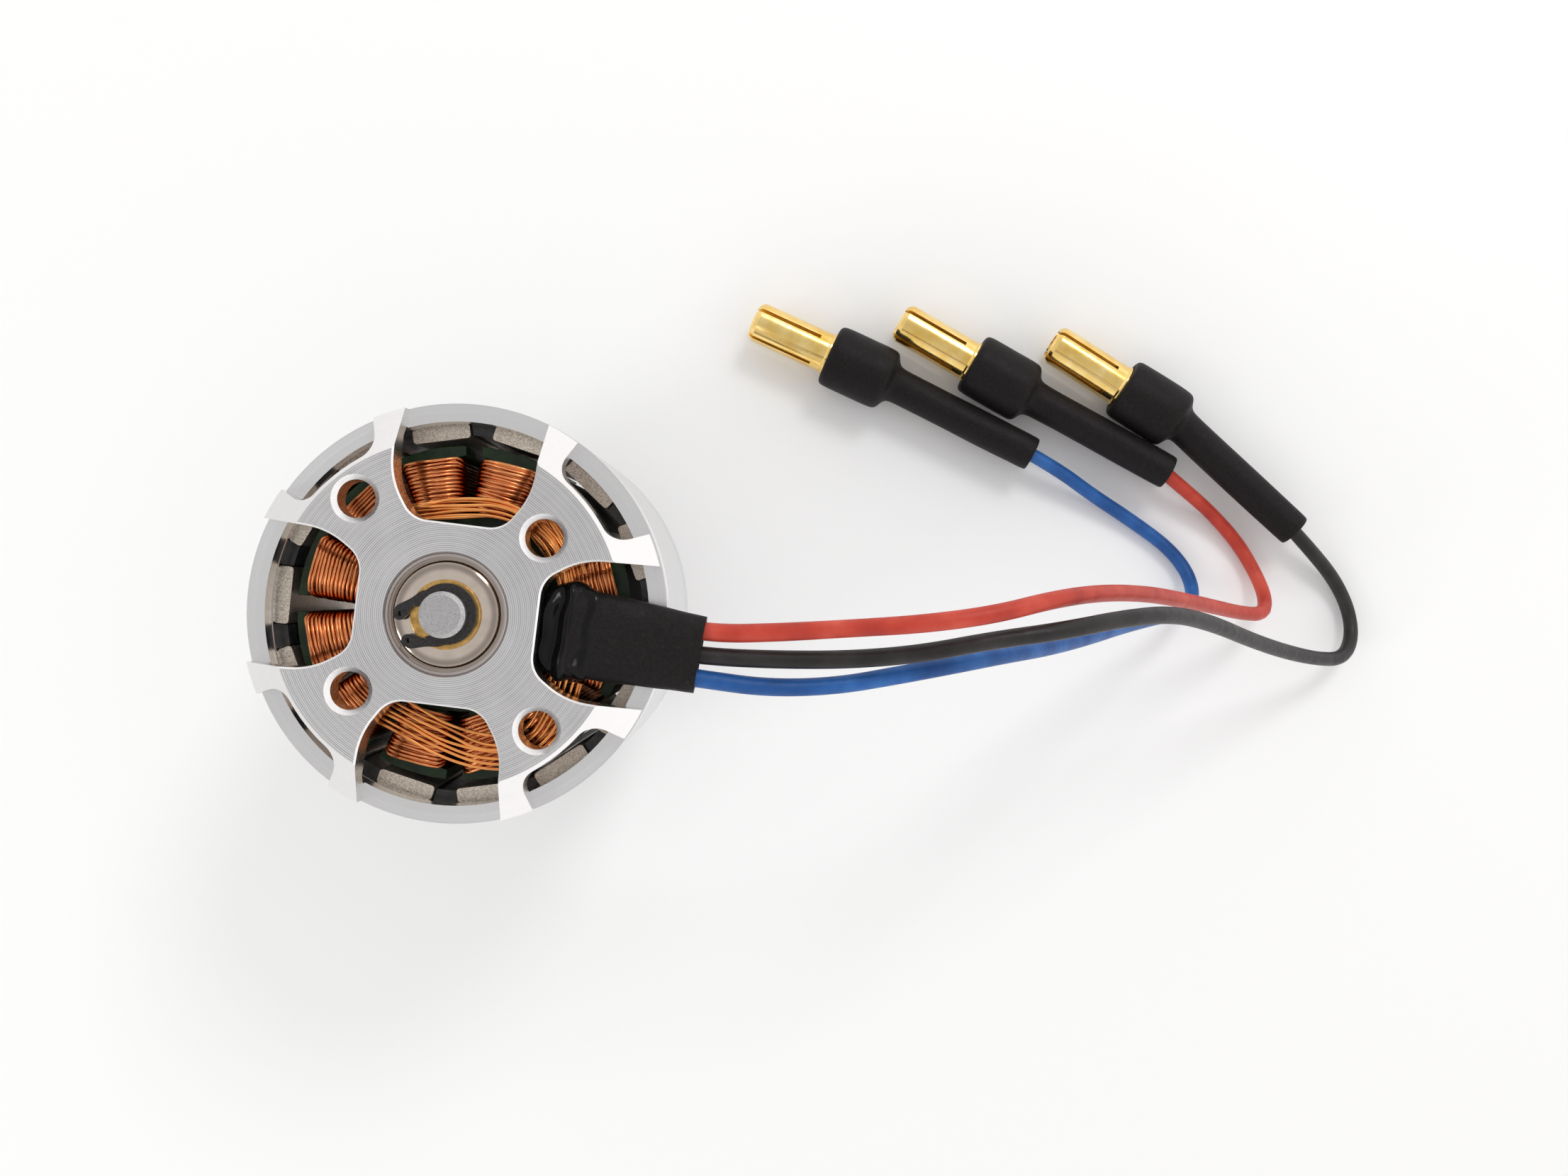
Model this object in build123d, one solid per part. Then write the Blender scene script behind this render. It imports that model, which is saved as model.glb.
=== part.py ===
from build123d import *
import math
import os

# Brushless outrunner motor, 12 stator teeth and 14 magnets, standing on its prop stud.
# Frame: Z is the shaft axis, pointing from the prop end up to the mounting base. The origin is on
# the axis, at the flat end of the prop stud. X is the side where the leads leave. Millimetres.

# ---- overall heights
BASE_FACE_Z = 38.0  # machined mounting face
SHAFT_PROUD = 1.36  # shaft end above the mounting face
BODY_RADIUS = 14.0  # base ring and rotor

# ---- mounting base
DISC_THICKNESS = 2.2
FACE_RADIUS = 11.3  # flat face; the prongs slope down outside it
PRONG_FOOT_DROP = 2.1  # drop of the prongs' sloping faces at the rim
PRONG_RADIUS = 13.95
RING_TOP_Z = BASE_FACE_Z - 3.3
RING_THICKNESS = 1.3
RING_INNER_RADIUS = 12.8
ARM_ANGLE = 38.0  # first arm; the others follow every 90 degrees
WINDOW_ANGLE = ARM_ANGLE - 45.0
WINDOW_NEAR = 5.9  # the window's inner wall, measured along its own middle line
WINDOW_SHOULDER = 8.3
WINDOW_HALF_WIDTHS = (2.95, 4.55, 4.85)  # at the inner wall, the shoulder and the rim
WINDOW_CORNER_RADIUS = 1.8
WINDOW_SHOULDER_RADIUS = 5.0
SCALLOP_RADIUS = 11.55  # edge of the disc between the two prongs of one arm
SCALLOP_HALF_ANGLE = 16.4
SCALLOP_FLARE = 1.6  # the scallop opens by this many degrees towards the rim
SCALLOP_CORNER_RADIUS = 1.4
EDGE_BREAK = 0.12
BEARING_SEAT_CHAMFER = 0.06
MOUNT_PCD_WIDE = 19.0  # M3 holes on the arms at 128 and 308 degrees
MOUNT_PCD_NARROW = 16.0  # M3 holes on the arms at 38 and 218 degrees
TAPPED_M3_RADIUS = 1.25
HOLE_CHAMFER = 0.33
RING_CHAMFER = 0.1

# ---- bearings, 3 x 8 x 4
BEARING_RADIUS = 4.0
BEARING_WIDTH = 4.0
TUBE_RADIUS = 5.0  # bearing tube, which also carries the stator
TUBE_BORE_RADIUS = 3.3
TUBE_END_Z = 16.0
BALL_COUNT = 7
BALL_RADIUS = 0.794
BALL_CIRCLE_RADIUS = 2.75
GROOVE_RADIUS = 0.83
OUTER_RACE_RADIUS = 3.15
BEARING_CORNER = 0.12
SHIELD_POCKET_RADIUS = 3.75
SHIELD_POCKET_DEPTH = 0.6
INNER_RACE_RADIUS = 2.1
SHIELD_BORE_RADIUS = 2.2
SHIELD_FLAT_RADIUS = 3.25
SHIELD_FLANGE_RADIUS = 3.5
SHIELD_FLANGE_DEPTH = 0.35
SHIELD_FACE_DEPTH = 0.1
SHIELD_SHEET = 0.15
SNAP_WIRE_INNER_RADIUS = 3.58
SNAP_WIRE_THICKNESS = 0.2
SNAP_WIRE_GAP = 0.9
SNAP_WIRE_GAP_ANGLE = 222.0
CAGE_OUTER_RADIUS = 3.0
CAGE_INNER_RADIUS = 2.5
CAGE_HALF_HEIGHT = 1.1
CAGE_CLEARANCE = 0.03

# ---- shaft and what sits on it
SHAFT_RADIUS = 1.5
SHAFT_BOTTOM_Z = 12.2
CIRCLIP_GROOVE_RADIUS = 1.36
WASHER_RADIUS = 2.27
WASHER_THICKNESS = 0.25
CIRCLIP_THICKNESS = 0.4
CIRCLIP_RADIUS = 1.98
CIRCLIP_ECCENTRICITY = 0.13  # the ring is widest opposite its opening
CIRCLIP_OPENING_ANGLE = 197.0
CIRCLIP_OPENING_WIDTH = 2.0
CIRCLIP_LUG = (2.68, 0.91)  # centre of a lug, with the opening along +X
CIRCLIP_LUG_RADIUS = 0.42
CIRCLIP_EYE_RADIUS = 0.17
SHAFT_CHAMFER = 0.25

# ---- stator
TOOTH_COUNT = 12
STATOR_RADIUS = 11.4
STATOR_BOTTOM_Z = 19.1
STATOR_TOP_Z = 32.1
YOKE_RADIUS = 6.5
STEM_HALF_WIDTH = 0.8
TIP_INNER_RADIUS = 10.65
TIP_EDGE_THICKNESS = 0.4
TIP_FLAT_HALF_WIDTH = 1.1
TIP_HALF_ANGLE = 10.9
SLOT_ANGLE = -3.5  # one slot opening; the teeth lie halfway between the openings
COATING = 0.25
LEAD_WIRE_Z = 34.75
LEAD_WIRE_RADIUS = 0.45  # of a whole bundle of winding ends
LEAD_WIRE_BEND = 1.6
COIL_OVERHANG = 1.9  # how far the copper stands above the core
COIL_HALF_WIDTHS = (1.68, 2.2)  # at the yoke and at the tooth tip
COIL_END_ROUNDING = 0.9
COIL_INNER_RADIUS = YOKE_RADIUS + COATING
COIL_OUTER_RADIUS = TIP_INNER_RADIUS - COATING

# ---- rotor
MAGNET_COUNT = 14
MAGNET_WIDTH = 3.9
MAGNET_FLAT_RADIUS = 11.8
MAGNET_CORNER_RADIUS = 0.22
FILLER_CLEARANCE = 0.08
FILLER_RECESS = 0.35  # the filler stays back from the magnets' inner faces
FILLER_DEPTH_BELOW_MAGNETS = 0.5
MAGNET_ANGLE = 97.0
MAGNET_BOTTOM_Z = 17.6
MAGNET_TOP_Z = 32.6
RING_STEEL_INNER_RADIUS = 12.9
RING_STEEL_BOTTOM_Z = 16.6
RING_STEEL_TOP_Z = 33.0
RING_STEEL_CHAMFER = 0.15
BELL_FACE_Z = 11.0
BELL_PLATE = 2.2
BELL_WALL_INNER_RADIUS = 12.2
BELL_CORNER_RADIUS = 2.1
BELL_FILLET = 0.6
BELL_BOSS_RADIUS = 3.6
BELL_BOSS_TOP_Z = 15.5
VENT_COUNT = 6
VENT_INNER_RADIUS = 5.7
VENT_OUTER_RADIUS = 11.5
VENT_CORNER_RADIUS = 0.8
SPOKE_WIDTH = 2.3
PROP_SEAT_RADIUS = 5.0
PROP_SEAT_Z = 9.8
PROP_SEAT_CHAMFER = 0.3
STUD_RADIUS = 3.0  # M6
STUD_CHAMFER = 0.5
STUD_SHANK_RADIUS = 2.5
STUD_RECESS_RADIUS = 3.1  # run-out recess in the prop seat, round the end of the thread
STUD_RECESS_DEPTH = 0.3
GRUB_RADIUS = 0.8
GRUB_Z = 14.3
GRUB_ANGLES = (45, 135)
GRUB_SOCKET_RADIUS = 0.45
GRUB_SOCKET_DEPTH = 0.8
GRUB_RECESS = 0.15

# ---- leads, their sleeve and the bullet connectors
LEAD_RADIUS = 0.61
LEAD_EXIT_Z = 36.05
SLEEVE_START = Vector(8.05, -1.20, LEAD_EXIT_Z)
SLEEVE_END = Vector(16.29, -2.69, LEAD_EXIT_Z)
SLEEVE_WIDTH_START = 6.0
SLEEVE_WIDTH_END = 5.3
SLEEVE_HEIGHT = 2.3
SLEEVE_WALL = 0.3
PLUG_LENGTH = 1.1  # potting inside the sleeve; the leads start in it
BULLET_RADIUS = 1.75
BULLET_BORE = 1.2
BULLET_PIN_LENGTH = 7.2
BULLET_COLLAR_RADIUS = 1.9
BULLET_SLOT_WIDTH = 0.35
BULLET_SLOT_ANGLE = 30.0
CUP_RADIUS = 2.2
CUP_BORE = 1.6
CUP_START = 1.2
CUP_DEPTH = 2.6
SHRINK_RADIUS = 2.8
SHRINK_LENGTH = 6.1
SHRINK_TAIL_RADIUS = 1.55
SHRINK_TAIL_LENGTH = 13.8
SHRINK_WALL = 0.4
SHRINK_SHOULDER = 0.9
SHRINK_EDGE_ROUNDING = 0.35
SHRINK_MOUTH_DEPTH = 1.0  # the lead's end sits this far inside the tail
CONNECTOR_Z = SHRINK_RADIUS + 0.02  # the big sleeves lie on the surface that the motor stands on

# Routes of the leads: from the potting, through the sleeve, over the rim, down to the surface and
# back up into the connector's shrink tube. Each turn becomes an arc.
LEAD_ROUTES = {
    "red": [
        (9.3, 0.1, 36.05), (13.1, -0.5, 36.0), (17.0, -1.3, 36.15), (21.4, -1.2, 36.6),
        (26.1, -0.9, 37.7), (30.7, -0.6, 38.6), (35.3, 0.0, 38.5), (39.6, 1.0, 36.5),
        (43.6, 1.4, 32.1), (48.0, 1.3, 26.0), (52.4, 0.8, 19.1), (56.7, 0.2, 12.5),
        (60.3, -0.4, 7.9), (63.3, -0.6, 4.6), (64.3, 0.8, 2.2), (63.8, 3.1, 0.8),
        (62.2, 5.8, 0.8), (59.6, 8.5, 1.4), (57.1, 10.4, 2.3), (54.7, 12.3, 2.82),
    ],
    "black": [
        (9.0, -1.4, 36.05), (12.8, -2.2, 36.1), (16.7, -2.8, 36.0), (21.2, -3.0, 36.1),
        (26.0, -3.0, 36.3), (30.7, -2.6, 36.7), (35.3, -1.7, 37.1), (40.0, -1.1, 36.6),
        (44.7, -0.3, 34.2), (49.3, -0.1, 29.2), (53.9, -1.0, 22.8), (58.6, -2.4, 16.4),
        (63.4, -3.6, 10.2), (67.7, -4.4, 5.7), (70.7, -4.5, 3.1), (72.2, -2.9, 1.4),
        (72.2, -0.4, 0.8), (70.9, 2.3, 1.0), (68.5, 4.9, 2.0), (65.9, 7.4, 2.82),
    ],
    "blue": [
        (8.8, -2.9, 36.05), (12.6, -3.7, 36.0), (16.5, -4.3, 35.9), (20.7, -4.9, 35.6),
        (25.2, -4.8, 35.2), (29.4, -4.1, 34.8), (33.4, -3.4, 34.0), (37.0, -2.9, 31.2),
        (40.8, -2.6, 26.4), (44.9, -2.1, 20.2), (49.0, -1.4, 13.8), (53.0, -0.8, 8.2),
        (56.2, -0.4, 4.8), (57.9, 0.7, 2.4), (57.9, 2.9, 0.8), (56.1, 5.3, 0.8),
        (52.5, 7.9, 0.8), (49.1, 10.0, 1.4), (45.9, 12.2, 2.3), (42.7, 13.9, 2.82),
    ],
}
# Directions in which the pin and the tail of each connector point, seen from above, in degrees
# from the lead end towards the tip.
BULLET_DIRECTIONS = {"red": 150.0, "black": 147.5, "blue": 155.5}
TAIL_DIRECTIONS = {"red": 151.0, "black": 137.0, "blue": 153.0}


def polar(radius, degrees, z=0.0):
    """The point at that radius and angle about the shaft axis."""
    a = math.radians(degrees)
    return Vector(radius * math.cos(a), radius * math.sin(a), z)


def tube(outer, inner, bottom, top):
    """A plain ring about the shaft axis between two heights."""
    height = top - bottom
    ring = Cylinder(outer, height, align=(Align.CENTER, Align.CENTER, Align.MIN))
    hole = Cylinder(inner, height, align=(Align.CENTER, Align.CENTER, Align.MIN))
    return Pos(0, 0, bottom) * (ring - hole)


def turned(points):
    """A solid turned about the shaft axis from its (radius, height) outline."""
    outline = Polyline([(r, 0, z) for r, z in points], close=True)
    return revolve(make_face(outline), Axis.Z)


def spin(shape, degrees):
    return Rot(0, 0, degrees) * shape


def group(solids, label):
    compound = Compound(children=list(solids))
    compound.label = label
    return compound


# ---------------------------------------------------------------- mounting base

def window_cutter(inset=0.0, bottom=RING_TOP_Z, top=BASE_FACE_Z + 1):
    """The prism of one window between two arms, along +X. inset shrinks it on every side."""
    near, shoulder, rim = (width - inset for width in WINDOW_HALF_WIDTHS)
    reach = BODY_RADIUS + 1
    inner_wall = WINDOW_NEAR + inset
    corners = [
        (reach, -rim), (WINDOW_SHOULDER, -shoulder), (inner_wall, -near),
        (inner_wall, near), (WINDOW_SHOULDER, shoulder), (reach, rim),
    ]
    edge = FilletPolyline(*corners, radius=[
        WINDOW_SHOULDER_RADIUS, WINDOW_CORNER_RADIUS, WINDOW_CORNER_RADIUS, WINDOW_SHOULDER_RADIUS])
    face = make_face([*edge.edges(), Line(corners[-1], corners[0])])
    return extrude(Pos(0, 0, bottom) * face, top - bottom)


def scallop_cutter():
    """The prism between the two prongs of one arm, along +X."""
    a, b = SCALLOP_HALF_ANGLE - SCALLOP_FLARE, SCALLOP_HALF_ANGLE
    reach = BODY_RADIUS + 1.5
    low, tip_low = polar(SCALLOP_RADIUS, -a), polar(reach, -b)
    high, tip_high = polar(SCALLOP_RADIUS, a), polar(reach, b)
    edges = [
        Line(tip_low, low),
        ThreePointArc(low, (SCALLOP_RADIUS, 0), high),
        Line(high, tip_high),
        Line(tip_high, tip_low),
    ]
    prism = extrude(Pos(0, 0, RING_TOP_Z) * make_face(edges), 5.0)
    inner_corners = prism.edges().filter_by(Axis.Z).sort_by(lambda e: e.center().X)[:2]
    return fillet(inner_corners, SCALLOP_CORNER_RADIUS)


def mount_holes():
    for angle, pcd in ((38, MOUNT_PCD_NARROW), (218, MOUNT_PCD_NARROW),
                       (128, MOUNT_PCD_WIDE), (308, MOUNT_PCD_WIDE)):
        yield polar(pcd / 2, angle)


def motor_base():
    """One machined piece: disc, four arms with two prongs each, outer ring and bearing tube."""
    disc_bottom = BASE_FACE_Z - DISC_THICKNESS
    ring_bottom = RING_TOP_Z - RING_THICKNESS
    base = turned([
        (0, BASE_FACE_Z), (FACE_RADIUS, BASE_FACE_Z),
        (PRONG_RADIUS, BASE_FACE_Z - PRONG_FOOT_DROP), (PRONG_RADIUS, RING_TOP_Z),
        (BODY_RADIUS, RING_TOP_Z), (BODY_RADIUS, ring_bottom + RING_CHAMFER),
        (BODY_RADIUS - RING_CHAMFER, ring_bottom), (RING_INNER_RADIUS, ring_bottom),
        (RING_INNER_RADIUS, RING_TOP_Z + 0.5), (RING_INNER_RADIUS - 0.6, disc_bottom),
        (TUBE_RADIUS, disc_bottom), (TUBE_RADIUS, TUBE_END_Z), (0, TUBE_END_Z),
    ])
    for k in range(4):
        base -= spin(window_cutter(), WINDOW_ANGLE + 90 * k)
        base -= spin(scallop_cutter(), ARM_ANGLE + 90 * k)
    face = base.faces().filter_by(Axis.Z).sort_by(Axis.Z)[-1]
    window_edges = [e for e in face.outer_wire().edges()
                    if math.hypot(e.center().X, e.center().Y) < FACE_RADIUS - 0.4]
    base = chamfer(window_edges, EDGE_BREAK)
    base -= Cylinder(TUBE_BORE_RADIUS, 100)
    for z in (BASE_FACE_Z, TUBE_END_Z):
        base -= Pos(0, 0, z) * Cylinder(BEARING_RADIUS, 2 * BEARING_WIDTH)
    mouth = base.edges().filter_by(GeomType.CIRCLE).filter_by(
        lambda e: abs(e.radius - BEARING_RADIUS) < 1e-6 and abs(e.center().Z - BASE_FACE_Z) < 1e-6)
    base = chamfer(mouth, BEARING_SEAT_CHAMFER)
    for hole in mount_holes():
        base -= Pos(hole.X, hole.Y, BASE_FACE_Z - 3) * Cylinder(TAPPED_M3_RADIUS, 8)
        base -= Pos(hole.X, hole.Y, BASE_FACE_Z) * Cone(
            TAPPED_M3_RADIUS, TAPPED_M3_RADIUS + HOLE_CHAMFER, HOLE_CHAMFER,
            align=(Align.CENTER, Align.CENTER, Align.MAX))
    return base


# ---------------------------------------------------------------- bearings

def bearing_outer_ring(bottom):
    w, r = BEARING_WIDTH, BEARING_RADIUS
    d, c = SHIELD_POCKET_DEPTH, BEARING_CORNER
    ring = turned([
        (SHIELD_POCKET_RADIUS, 0), (r - c, 0), (r, c), (r, w - c), (r - c, w),
        (SHIELD_POCKET_RADIUS, w), (SHIELD_POCKET_RADIUS, w - d), (OUTER_RACE_RADIUS, w - d),
        (OUTER_RACE_RADIUS, d), (SHIELD_POCKET_RADIUS, d),
    ])
    ring -= Pos(0, 0, w / 2) * Torus(BALL_CIRCLE_RADIUS, GROOVE_RADIUS)
    return Pos(0, 0, bottom) * ring


def bearing_inner_ring(bottom):
    ring = tube(INNER_RACE_RADIUS, SHAFT_RADIUS, 0, BEARING_WIDTH)
    ring -= Pos(0, 0, BEARING_WIDTH / 2) * Torus(BALL_CIRCLE_RADIUS, GROOVE_RADIUS)
    return Pos(0, 0, bottom) * ring


def bearing_shields(bottom):
    """Two dished pressed shields, one in each pocket."""
    flange = BEARING_WIDTH - SHIELD_FLANGE_DEPTH
    face = BEARING_WIDTH - SHIELD_FACE_DEPTH
    outline = [
        (SHIELD_POCKET_RADIUS, flange - SHIELD_SHEET), (SHIELD_POCKET_RADIUS, flange),
        (SHIELD_FLANGE_RADIUS, flange), (SHIELD_FLAT_RADIUS + 0.12, face - 0.05),
        (SHIELD_FLAT_RADIUS, face), (SHIELD_BORE_RADIUS, face),
        (SHIELD_BORE_RADIUS, face - SHIELD_SHEET), (SHIELD_FLAT_RADIUS - 0.05, face - SHIELD_SHEET),
        (SHIELD_FLANGE_RADIUS - 0.1, flange - SHIELD_SHEET),
    ]
    upper = turned(outline)
    lower = turned([(r, BEARING_WIDTH - z) for r, z in outline])
    return [Pos(0, 0, bottom) * upper, Pos(0, 0, bottom) * lower]


def snap_wires(bottom):
    """The open rings that hold the shields in their pockets."""
    gap = Pos(SHIELD_POCKET_RADIUS, 0, 0) * Box(2, SNAP_WIRE_GAP, 2)
    wires = []
    for z in (SHIELD_FLANGE_DEPTH - SNAP_WIRE_THICKNESS, BEARING_WIDTH - SHIELD_FLANGE_DEPTH):
        wire = tube(SHIELD_POCKET_RADIUS, SNAP_WIRE_INNER_RADIUS, z, z + SNAP_WIRE_THICKNESS)
        wires.append(Pos(0, 0, bottom) * (wire - spin(Pos(0, 0, z) * gap, SNAP_WIRE_GAP_ANGLE)))
    return wires


def bearing_balls(bottom):
    z = bottom + BEARING_WIDTH / 2
    step = 360 / BALL_COUNT
    return [Pos(polar(BALL_CIRCLE_RADIUS, k * step, z)) * Sphere(BALL_RADIUS)
            for k in range(BALL_COUNT)]


def bearing_cage(bottom):
    """A ring with a round pocket for each ball."""
    z = bottom + BEARING_WIDTH / 2
    cage = tube(CAGE_OUTER_RADIUS, CAGE_INNER_RADIUS, z - CAGE_HALF_HEIGHT, z + CAGE_HALF_HEIGHT)
    pocket = Pos(BALL_CIRCLE_RADIUS, 0, z) * Rot(0, 90, 0) * Cylinder(
        BALL_RADIUS + CAGE_CLEARANCE, 2)
    for k in range(BALL_COUNT):
        cage -= spin(pocket, k * 360 / BALL_COUNT)
    return cage


# ---------------------------------------------------------------- shaft parts

WASHER_BOTTOM_Z = BASE_FACE_Z
CIRCLIP_BOTTOM_Z = BASE_FACE_Z + WASHER_THICKNESS


def shaft():
    top = BASE_FACE_Z + SHAFT_PROUD
    g0, g1 = CIRCLIP_BOTTOM_Z, CIRCLIP_BOTTOM_Z + CIRCLIP_THICKNESS
    r = SHAFT_RADIUS
    return turned([
        (0, SHAFT_BOTTOM_Z), (r, SHAFT_BOTTOM_Z), (r, g0), (CIRCLIP_GROOVE_RADIUS, g0),
        (CIRCLIP_GROOVE_RADIUS, g1), (r, g1), (r, top - SHAFT_CHAMFER),
        (r - SHAFT_CHAMFER, top), (0, top),
    ])


def bronze_washer():
    return tube(WASHER_RADIUS, SHAFT_RADIUS, WASHER_BOTTOM_Z, WASHER_BOTTOM_Z + WASHER_THICKNESS)


def shim_washer():
    """Between the bell's boss and the lower bearing's inner ring."""
    return tube(INNER_RACE_RADIUS, SHAFT_RADIUS, BELL_BOSS_TOP_Z, TUBE_END_Z)


def circlip():
    """External circlip: an eccentric open ring with two curved arms, each with an eye in its lug."""
    up = (Align.CENTER, Align.CENTER, Align.MIN)
    thickness = CIRCLIP_THICKNESS
    clip = Pos(-CIRCLIP_ECCENTRICITY, 0, 0) * Cylinder(CIRCLIP_RADIUS, thickness, align=up)
    clip -= Pos(2, 0, 0) * Box(3, CIRCLIP_OPENING_WIDTH, 2)
    lug_x, lug_y = CIRCLIP_LUG
    for side in (-1, 1):
        arm = make_face(Spline(
            (0.4, side * 1.35), (0.7, side * 1.85), (1.7, side * 1.62),
            (lug_x + 0.2, side * (lug_y + 0.3)), (lug_x - 0.2, side * (lug_y - 0.3)),
            (1.5, side * 1.12), periodic=True))
        clip += extrude(arm, thickness)
        clip += Pos(lug_x, side * lug_y, 0) * Cylinder(CIRCLIP_LUG_RADIUS, thickness, align=up)
        clip -= Pos(lug_x, side * lug_y, 0) * Cylinder(CIRCLIP_EYE_RADIUS, 2)
    clip -= Cylinder(CIRCLIP_GROOVE_RADIUS, 2)
    return spin(Pos(0, 0, CIRCLIP_BOTTOM_Z) * clip, CIRCLIP_OPENING_ANGLE)


# ---------------------------------------------------------------- stator

def tooth_angles():
    step = 360 / TOOTH_COUNT
    return [SLOT_ANGLE + step / 2 + step * k for k in range(TOOTH_COUNT)]


def stator_profile(grow):
    """The lamination's outline, with its slot walls moved out by grow."""
    profile = Circle(YOKE_RADIUS + grow)
    tip_half = TIP_HALF_ANGLE + math.degrees(grow / STATOR_RADIUS)
    stem_length = STATOR_RADIUS - 0.5 - YOKE_RADIUS + 1
    inner = TIP_INNER_RADIUS - grow
    for angle in tooth_angles():
        stem = Pos(YOKE_RADIUS - 1 + stem_length / 2, 0) * Rectangle(
            stem_length, 2 * (STEM_HALF_WIDTH + grow))
        edge = STATOR_RADIUS - TIP_EDGE_THICKNESS - grow
        corners = [polar(edge, -tip_half), polar(STATOR_RADIUS, -tip_half),
                   polar(STATOR_RADIUS, tip_half), polar(edge, tip_half)]
        tip = make_face([
            Line(corners[0], corners[1]),
            ThreePointArc(corners[1], (STATOR_RADIUS, 0), corners[2]),
            Line(corners[2], corners[3]),
            Line(corners[3], (inner, TIP_FLAT_HALF_WIDTH)),
            Line((inner, TIP_FLAT_HALF_WIDTH), (inner, -TIP_FLAT_HALF_WIDTH)),
            Line((inner, -TIP_FLAT_HALF_WIDTH), corners[0]),
        ])
        profile += spin(stem + tip, angle)
    return profile - Circle(TUBE_RADIUS)


def stator_core():
    height = STATOR_TOP_Z - STATOR_BOTTOM_Z
    return Pos(0, 0, STATOR_BOTTOM_Z) * extrude(stator_profile(0), height)


def stator_insulation(core, upper):
    """Half of the epoxy coating: an end layer and the slot walls down to mid height."""
    middle = (STATOR_TOP_Z + STATOR_BOTTOM_Z) / 2
    height = (STATOR_TOP_Z - STATOR_BOTTOM_Z) / 2 + COATING
    bottom = middle if upper else middle - height
    return Pos(0, 0, bottom) * extrude(stator_profile(COATING), height) - core


def coil(angle):
    """The copper on one tooth: a closed loop about the coated stem with rounded ends."""
    r0, r1 = COIL_INNER_RADIUS, COIL_OUTER_RADIUS
    w0, w1 = COIL_HALF_WIDTHS
    outline = make_face(Polyline((r0, -w0), (r1, -w1), (r1, w1), (r0, w0), close=True))
    z0, z1 = STATOR_BOTTOM_Z - COIL_OVERHANG, STATOR_TOP_Z + COIL_OVERHANG
    block = Pos(0, 0, z0) * extrude(outline, z1 - z0)
    ends = block.faces().filter_by(Axis.Z).edges().filter_by(
        lambda e: abs(e.center().Y) > 0.5)
    block = fillet(ends, COIL_END_ROUNDING)
    stem = STEM_HALF_WIDTH + COATING
    hole = Pos((r0 + r1) / 2, 0, (STATOR_BOTTOM_Z + STATOR_TOP_Z) / 2) * Box(
        10, 2 * stem, STATOR_TOP_Z - STATOR_BOTTOM_Z + 2 * COATING)
    return spin(block - hole, angle)


def winding_phase(phase):
    """The four coils of one phase: two neighbours and the two opposite them."""
    angles = tooth_angles()
    start = 2 * phase
    return [coil(angles[(start + k) % TOOTH_COUNT]) for k in (0, 1, 6, 7)]


def lead_wires(points):
    """A bundle of enamelled winding ends under the disc, on its way to the potting."""
    radii = [LEAD_WIRE_BEND] * (len(points) - 2)
    path = FilletPolyline(*[(x, y, LEAD_WIRE_Z) for x, y in points], radius=radii)
    start = path.edges()[0] @ 0
    section = Plane(start, z_dir=path.edges()[0] % 0) * Circle(LEAD_WIRE_RADIUS)
    return sweep(section, path)


LEAD_WIRE_ROUTES = {
    "a": [(-4.9, 6.9), (-1.5, 7.2), (2.2, 7.2), (4.9, 5.9), (6.7, 3.9), (7.2, 1.7)],
    "b": [(-5.4, -5.6), (-2.4, -7.6), (0.6, -9.2), (3.6, -9.7), (6.3, -7.8), (7.3, -4.4)],
    "c": [(5.2, 7.7), (7.4, 5.5), (8.3, 2.6)],
}


# ---------------------------------------------------------------- rotor

def bell_cap():
    """Closed end of the rotor: rim with a spigot for the steel ring, spokes, boss and prop seat."""
    plate_top = BELL_FACE_Z + BELL_PLATE
    inner = BELL_WALL_INNER_RADIUS
    spigot_top = MAGNET_BOTTOM_Z - 0.2
    bell = turned([
        (0, PROP_SEAT_Z), (PROP_SEAT_RADIUS - PROP_SEAT_CHAMFER, PROP_SEAT_Z),
        (PROP_SEAT_RADIUS, PROP_SEAT_Z + PROP_SEAT_CHAMFER), (PROP_SEAT_RADIUS, BELL_FACE_Z),
        (BODY_RADIUS, BELL_FACE_Z), (BODY_RADIUS, RING_STEEL_BOTTOM_Z),
        (RING_STEEL_INNER_RADIUS, RING_STEEL_BOTTOM_Z),
        (RING_STEEL_INNER_RADIUS, spigot_top), (inner, spigot_top),
        (inner, plate_top + BELL_FILLET), (inner - BELL_FILLET, plate_top),
        (BELL_BOSS_RADIUS + BELL_FILLET, plate_top),
        (BELL_BOSS_RADIUS, plate_top + BELL_FILLET), (BELL_BOSS_RADIUS, BELL_BOSS_TOP_Z),
        (0, BELL_BOSS_TOP_Z),
    ])
    corner = bell.edges().filter_by(GeomType.CIRCLE).filter_by(
        lambda e: abs(e.radius - BODY_RADIUS) < 1e-6 and abs(e.center().Z - BELL_FACE_Z) < 1e-6)
    bell = fillet(corner, BELL_CORNER_RADIUS)
    for k in range(VENT_COUNT):
        bell -= spin(vent_cutter(), 360 / VENT_COUNT * k)
    bell -= Pos(0, 0, PROP_SEAT_Z) * Cylinder(
        STUD_SHANK_RADIUS, 2 * (SHAFT_BOTTOM_Z - PROP_SEAT_Z))
    bell -= Pos(0, 0, PROP_SEAT_Z) * Cylinder(STUD_RECESS_RADIUS, 2 * STUD_RECESS_DEPTH)
    bell -= Pos(0, 0, SHAFT_BOTTOM_Z) * Cylinder(
        SHAFT_RADIUS, 10, align=(Align.CENTER, Align.CENTER, Align.MIN))
    for angle in GRUB_ANGLES:
        bell -= spin(Pos(3, 0, GRUB_Z) * Rot(0, 90, 0) * Cylinder(GRUB_RADIUS, 4), angle)
    return bell


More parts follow.
